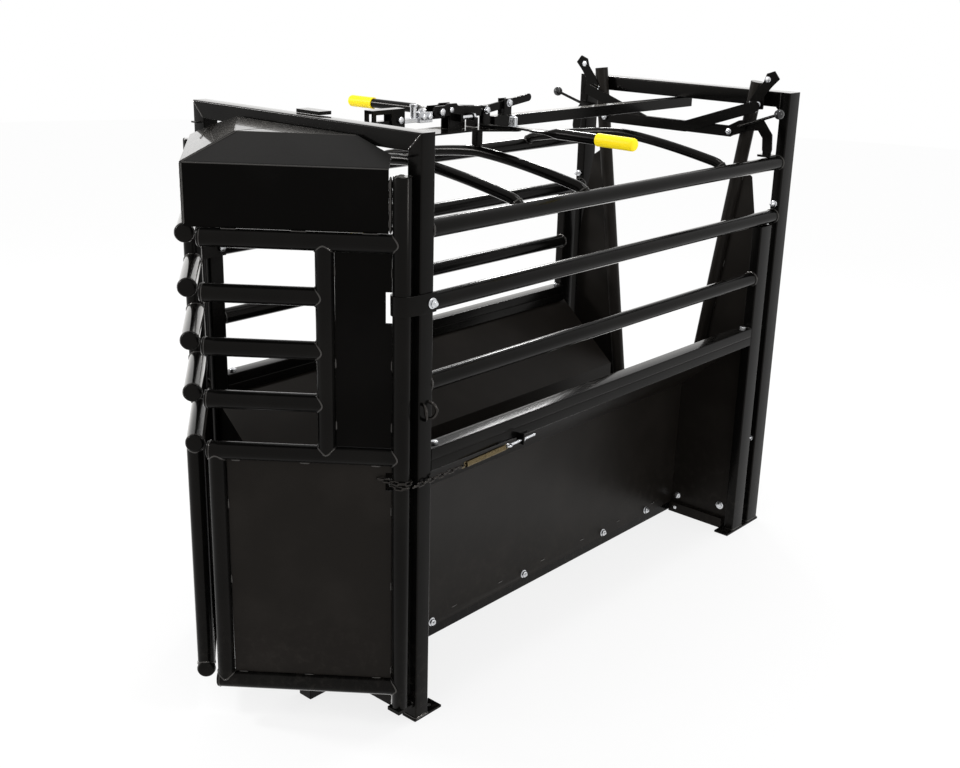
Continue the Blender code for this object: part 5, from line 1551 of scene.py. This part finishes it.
@dataclass
class GateLink(Assembly):
    """One drop link of the tail gate, its gooseneck and its ball lever."""

    reaches: tuple[float, float] = (0.514, 0.483)
    knob_z: float = 1.633
    knob_radius: float = 0.018
    root: tuple[float, float] = (-0.318, 1.573)
    rod_radius: float = 0.0053
    collar_radius: float = 0.0078
    pivot: tuple[float, float] = (0.280, 1.553)

    def build(self) -> None:
        """Dress the link and its gooseneck, and turn its ball lever and the pivot's nut."""
        self.dress("gate_link", Paint.BLACK, 0.0009)
        self.dress("gooseneck", Paint.BLACK, 0.0008)
        front, r = LINK_Y[self.side], self.knob_radius
        knob = np.array([-self.reaches[self.side is Side.LEFT], front - 0.012, self.knob_z])
        root = np.array([self.root[0], front - 0.0058, self.root[1]])
        along = unit(knob - root)
        length = float(np.linalg.norm(knob - root))
        rod = [(0.0, 0.0040), (0.001, self.rod_radius), (length - 0.012, self.rod_radius),
               (length - 0.012, self.collar_radius), (length - 0.004, self.collar_radius)]
        self.put("ball_rod", Shape().turned(root, along, rod, 24), Paint.BLACK, body="link")
        turn = np.linspace(0.0, math.pi, 24)
        ball = list(zip(-r * np.cos(turn), np.maximum(r * np.sin(turn), 0.0004)))
        self.put("ball_knob", Shape().turned(knob, along, ball, 40), Paint.KNOB, "knob_lever", "link")
        nut_y = next(y for side, y in LINK_Y.items() if side is not self.side) - 0.0003
        nut = Shape().hex_bolt((self.pivot[0], nut_y, self.pivot[1]), -REAR, 0.0118, 0.0096, 0.0, 0.004)
        self.put("link_nut", nut, Paint.ZINC)


@dataclass
class Strap(Assembly):
    """The strap round a hinge tube, with its bolt."""

    bolt_y: float = 0.041
    bolt_z: float = 1.258
    stand: float = 0.0053

    def build(self) -> None:
        """Dress the strap and set its washer, nut and thread end."""
        self.dress("hinge_strap", Paint.BLACK, 0.0010)
        outer, inner = HALF_WIDTH + self.stand, HALF_WIDTH - TUBE - self.stand
        bolt = Shape()
        bolt.hex_bolt((outer, self.bolt_y, self.bolt_z), OUT, 0.0116, 0.0084, 0.0150, 0.008, 0.0056)
        bolt.hex_bolt((inner, self.bolt_y, self.bolt_z), -OUT, 0.0116, 0.0084)
        self.put("strap_bolt", bolt, Paint.ZINC)


# Stage


@dataclass(frozen=True)
class Lamp:
    """One square soft box that faces a target."""

    name: str
    place: tuple[float, float, float]
    target_height: float
    size: float
    power: float

    def hang(self) -> None:
        """Hang it out of the camera's sight."""
        light = bpy.data.lights.new(self.name, "AREA")
        light.shape = "SQUARE"
        light.size = self.size
        light.energy = self.power
        lamp = bpy.data.objects.new(self.name, light)
        lamp.visible_camera = False
        lamp.location = self.place
        way = Vector((0.0, 0.0, self.target_height)) - Vector(self.place)
        lamp.rotation_euler = way.to_track_quat("-Z", "Y").to_euler()
        bpy.context.scene.collection.objects.link(lamp)


@dataclass(frozen=True)
class Studio:
    """White floor and background, soft overhead and side light, and the camera."""

    azimuth: float = 40.57
    elevation: float = 18.31
    roll: float = 1.75
    place: tuple[float, float, float] = (2.6344, -3.0130, 2.0925)
    focal: float = 46.04
    shift: tuple[float, float] = (-0.01467, -0.00776)
    floor_radius: float = 14.0
    floor_drop: float = 0.0006
    lamps: tuple[Lamp, ...] = (Lamp("overhead_box", (0.6, 0.9, 4.4), 0.8, 0.60, 34.0),
                               Lamp("left_box", (-3.0, -2.6, 3.0), 0.9, 0.60, 84.0),
                               Lamp("right_box", (3.8, 0.6, 2.6), 0.8, 0.50, 24.0),
                               Lamp("rear_box", (-2.6, 3.6, 3.2), 1.2, 0.60, 34.0))

    def build(self) -> None:
        """Set up everything round the object."""
        self.camera()
        self.world()
        self.floor()
        for lamp in self.lamps:
            lamp.hang()
        bpy.context.scene.view_settings.view_transform = "Standard"

    def camera(self) -> None:
        """Set the camera where the photograph was taken: back off along the view, then roll."""
        az, el, roll = (math.radians(v) for v in (self.azimuth, self.elevation, self.roll))
        forward = Vector((-math.sin(az) * math.cos(el), math.cos(az) * math.cos(el), -math.sin(el)))
        right = Vector((math.cos(az), math.sin(az), 0.0))
        above = right.cross(forward)
        x = math.cos(roll) * right + math.sin(roll) * above
        y = -math.sin(roll) * right + math.cos(roll) * above
        lens = bpy.data.cameras.new("camera")
        lens.lens = self.focal
        lens.sensor_width = 36.0
        lens.shift_x, lens.shift_y = self.shift
        camera = bpy.data.objects.new("camera", lens)
        turn = Matrix((x, y, -forward)).transposed().to_4x4()
        camera.matrix_world = Matrix.Translation(self.place) @ turn
        bpy.context.scene.collection.objects.link(camera)
        bpy.context.scene.camera = camera

    def world(self) -> None:
        """Show plain white to the eye and to reflections, and give a dimmer even fill to the object."""
        g = Graph(bpy.data.worlds.new("studio"))
        strength = g.node("ShaderNodeMapRange", {}, {"Value": g.seen(), "To Min": 0.95, "To Max": 1.0})
        back = g.nodes["Background"]
        g.feed(back.inputs["Color"], (1.0, 1.0, 1.0))
        g.feed(back.inputs["Strength"], strength)
        bpy.context.scene.world = g.owner

    def floor(self) -> None:
        """Lay the pale floor, which keeps a soft share of the object's shadow."""
        mesh = bpy.data.meshes.new("studio_floor")
        ring = circle(self.floor_radius, 64).tolist()
        mesh.from_pydata([(x, y, -self.floor_drop) for x, y in ring], [], [list(range(len(ring)))])
        g = material("floor_pale")
        g.nodes.remove(g.nodes["Principled BSDF"])
        matt = g.node("ShaderNodeBsdfDiffuse", {}, {"Color": (0.95, 0.95, 0.95)})
        glow = g.node("ShaderNodeEmission", {}, {})
        mix = g.node("ShaderNodeMixShader", {}, {"Fac": g.seen() * 0.80, 1: matt, 2: glow})
        g.feed(g.nodes["Material Output"].inputs["Surface"], mix)
        mesh.materials.append(g.owner)
        floor = bpy.data.objects.new("studio_floor", mesh)
        bpy.context.scene.collection.objects.link(floor)


def main() -> None:
    """Build the looks in order."""
    logging.basicConfig(level=logging.INFO, format="%(name)s: %(message)s")
    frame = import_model()
    Studio().build()
    shop = Workshop(frame)
    # What stands in the middle, and then what each side has
    groups = (((FrontFrame,), (FrontCorner,)), ((RearFrame,), (RearCorner,)), ((Roof, Latch), (Lever,)),
              ((), (GateHalf, GateLink)), ((), (SideFrame, Door, Strap, ChainAndSpring)))
    for middle, both in groups:
        for assembly in middle:
            assembly(shop).build()
        for side in Side:
            for assembly in both:
                assembly(shop, side).build()
    left = sorted(set(shop.nodes) - shop.replaced)
    LOG.info("solids still shown plain: %s", ", ".join(left) or "none")


if __name__ == "__main__":
    main()
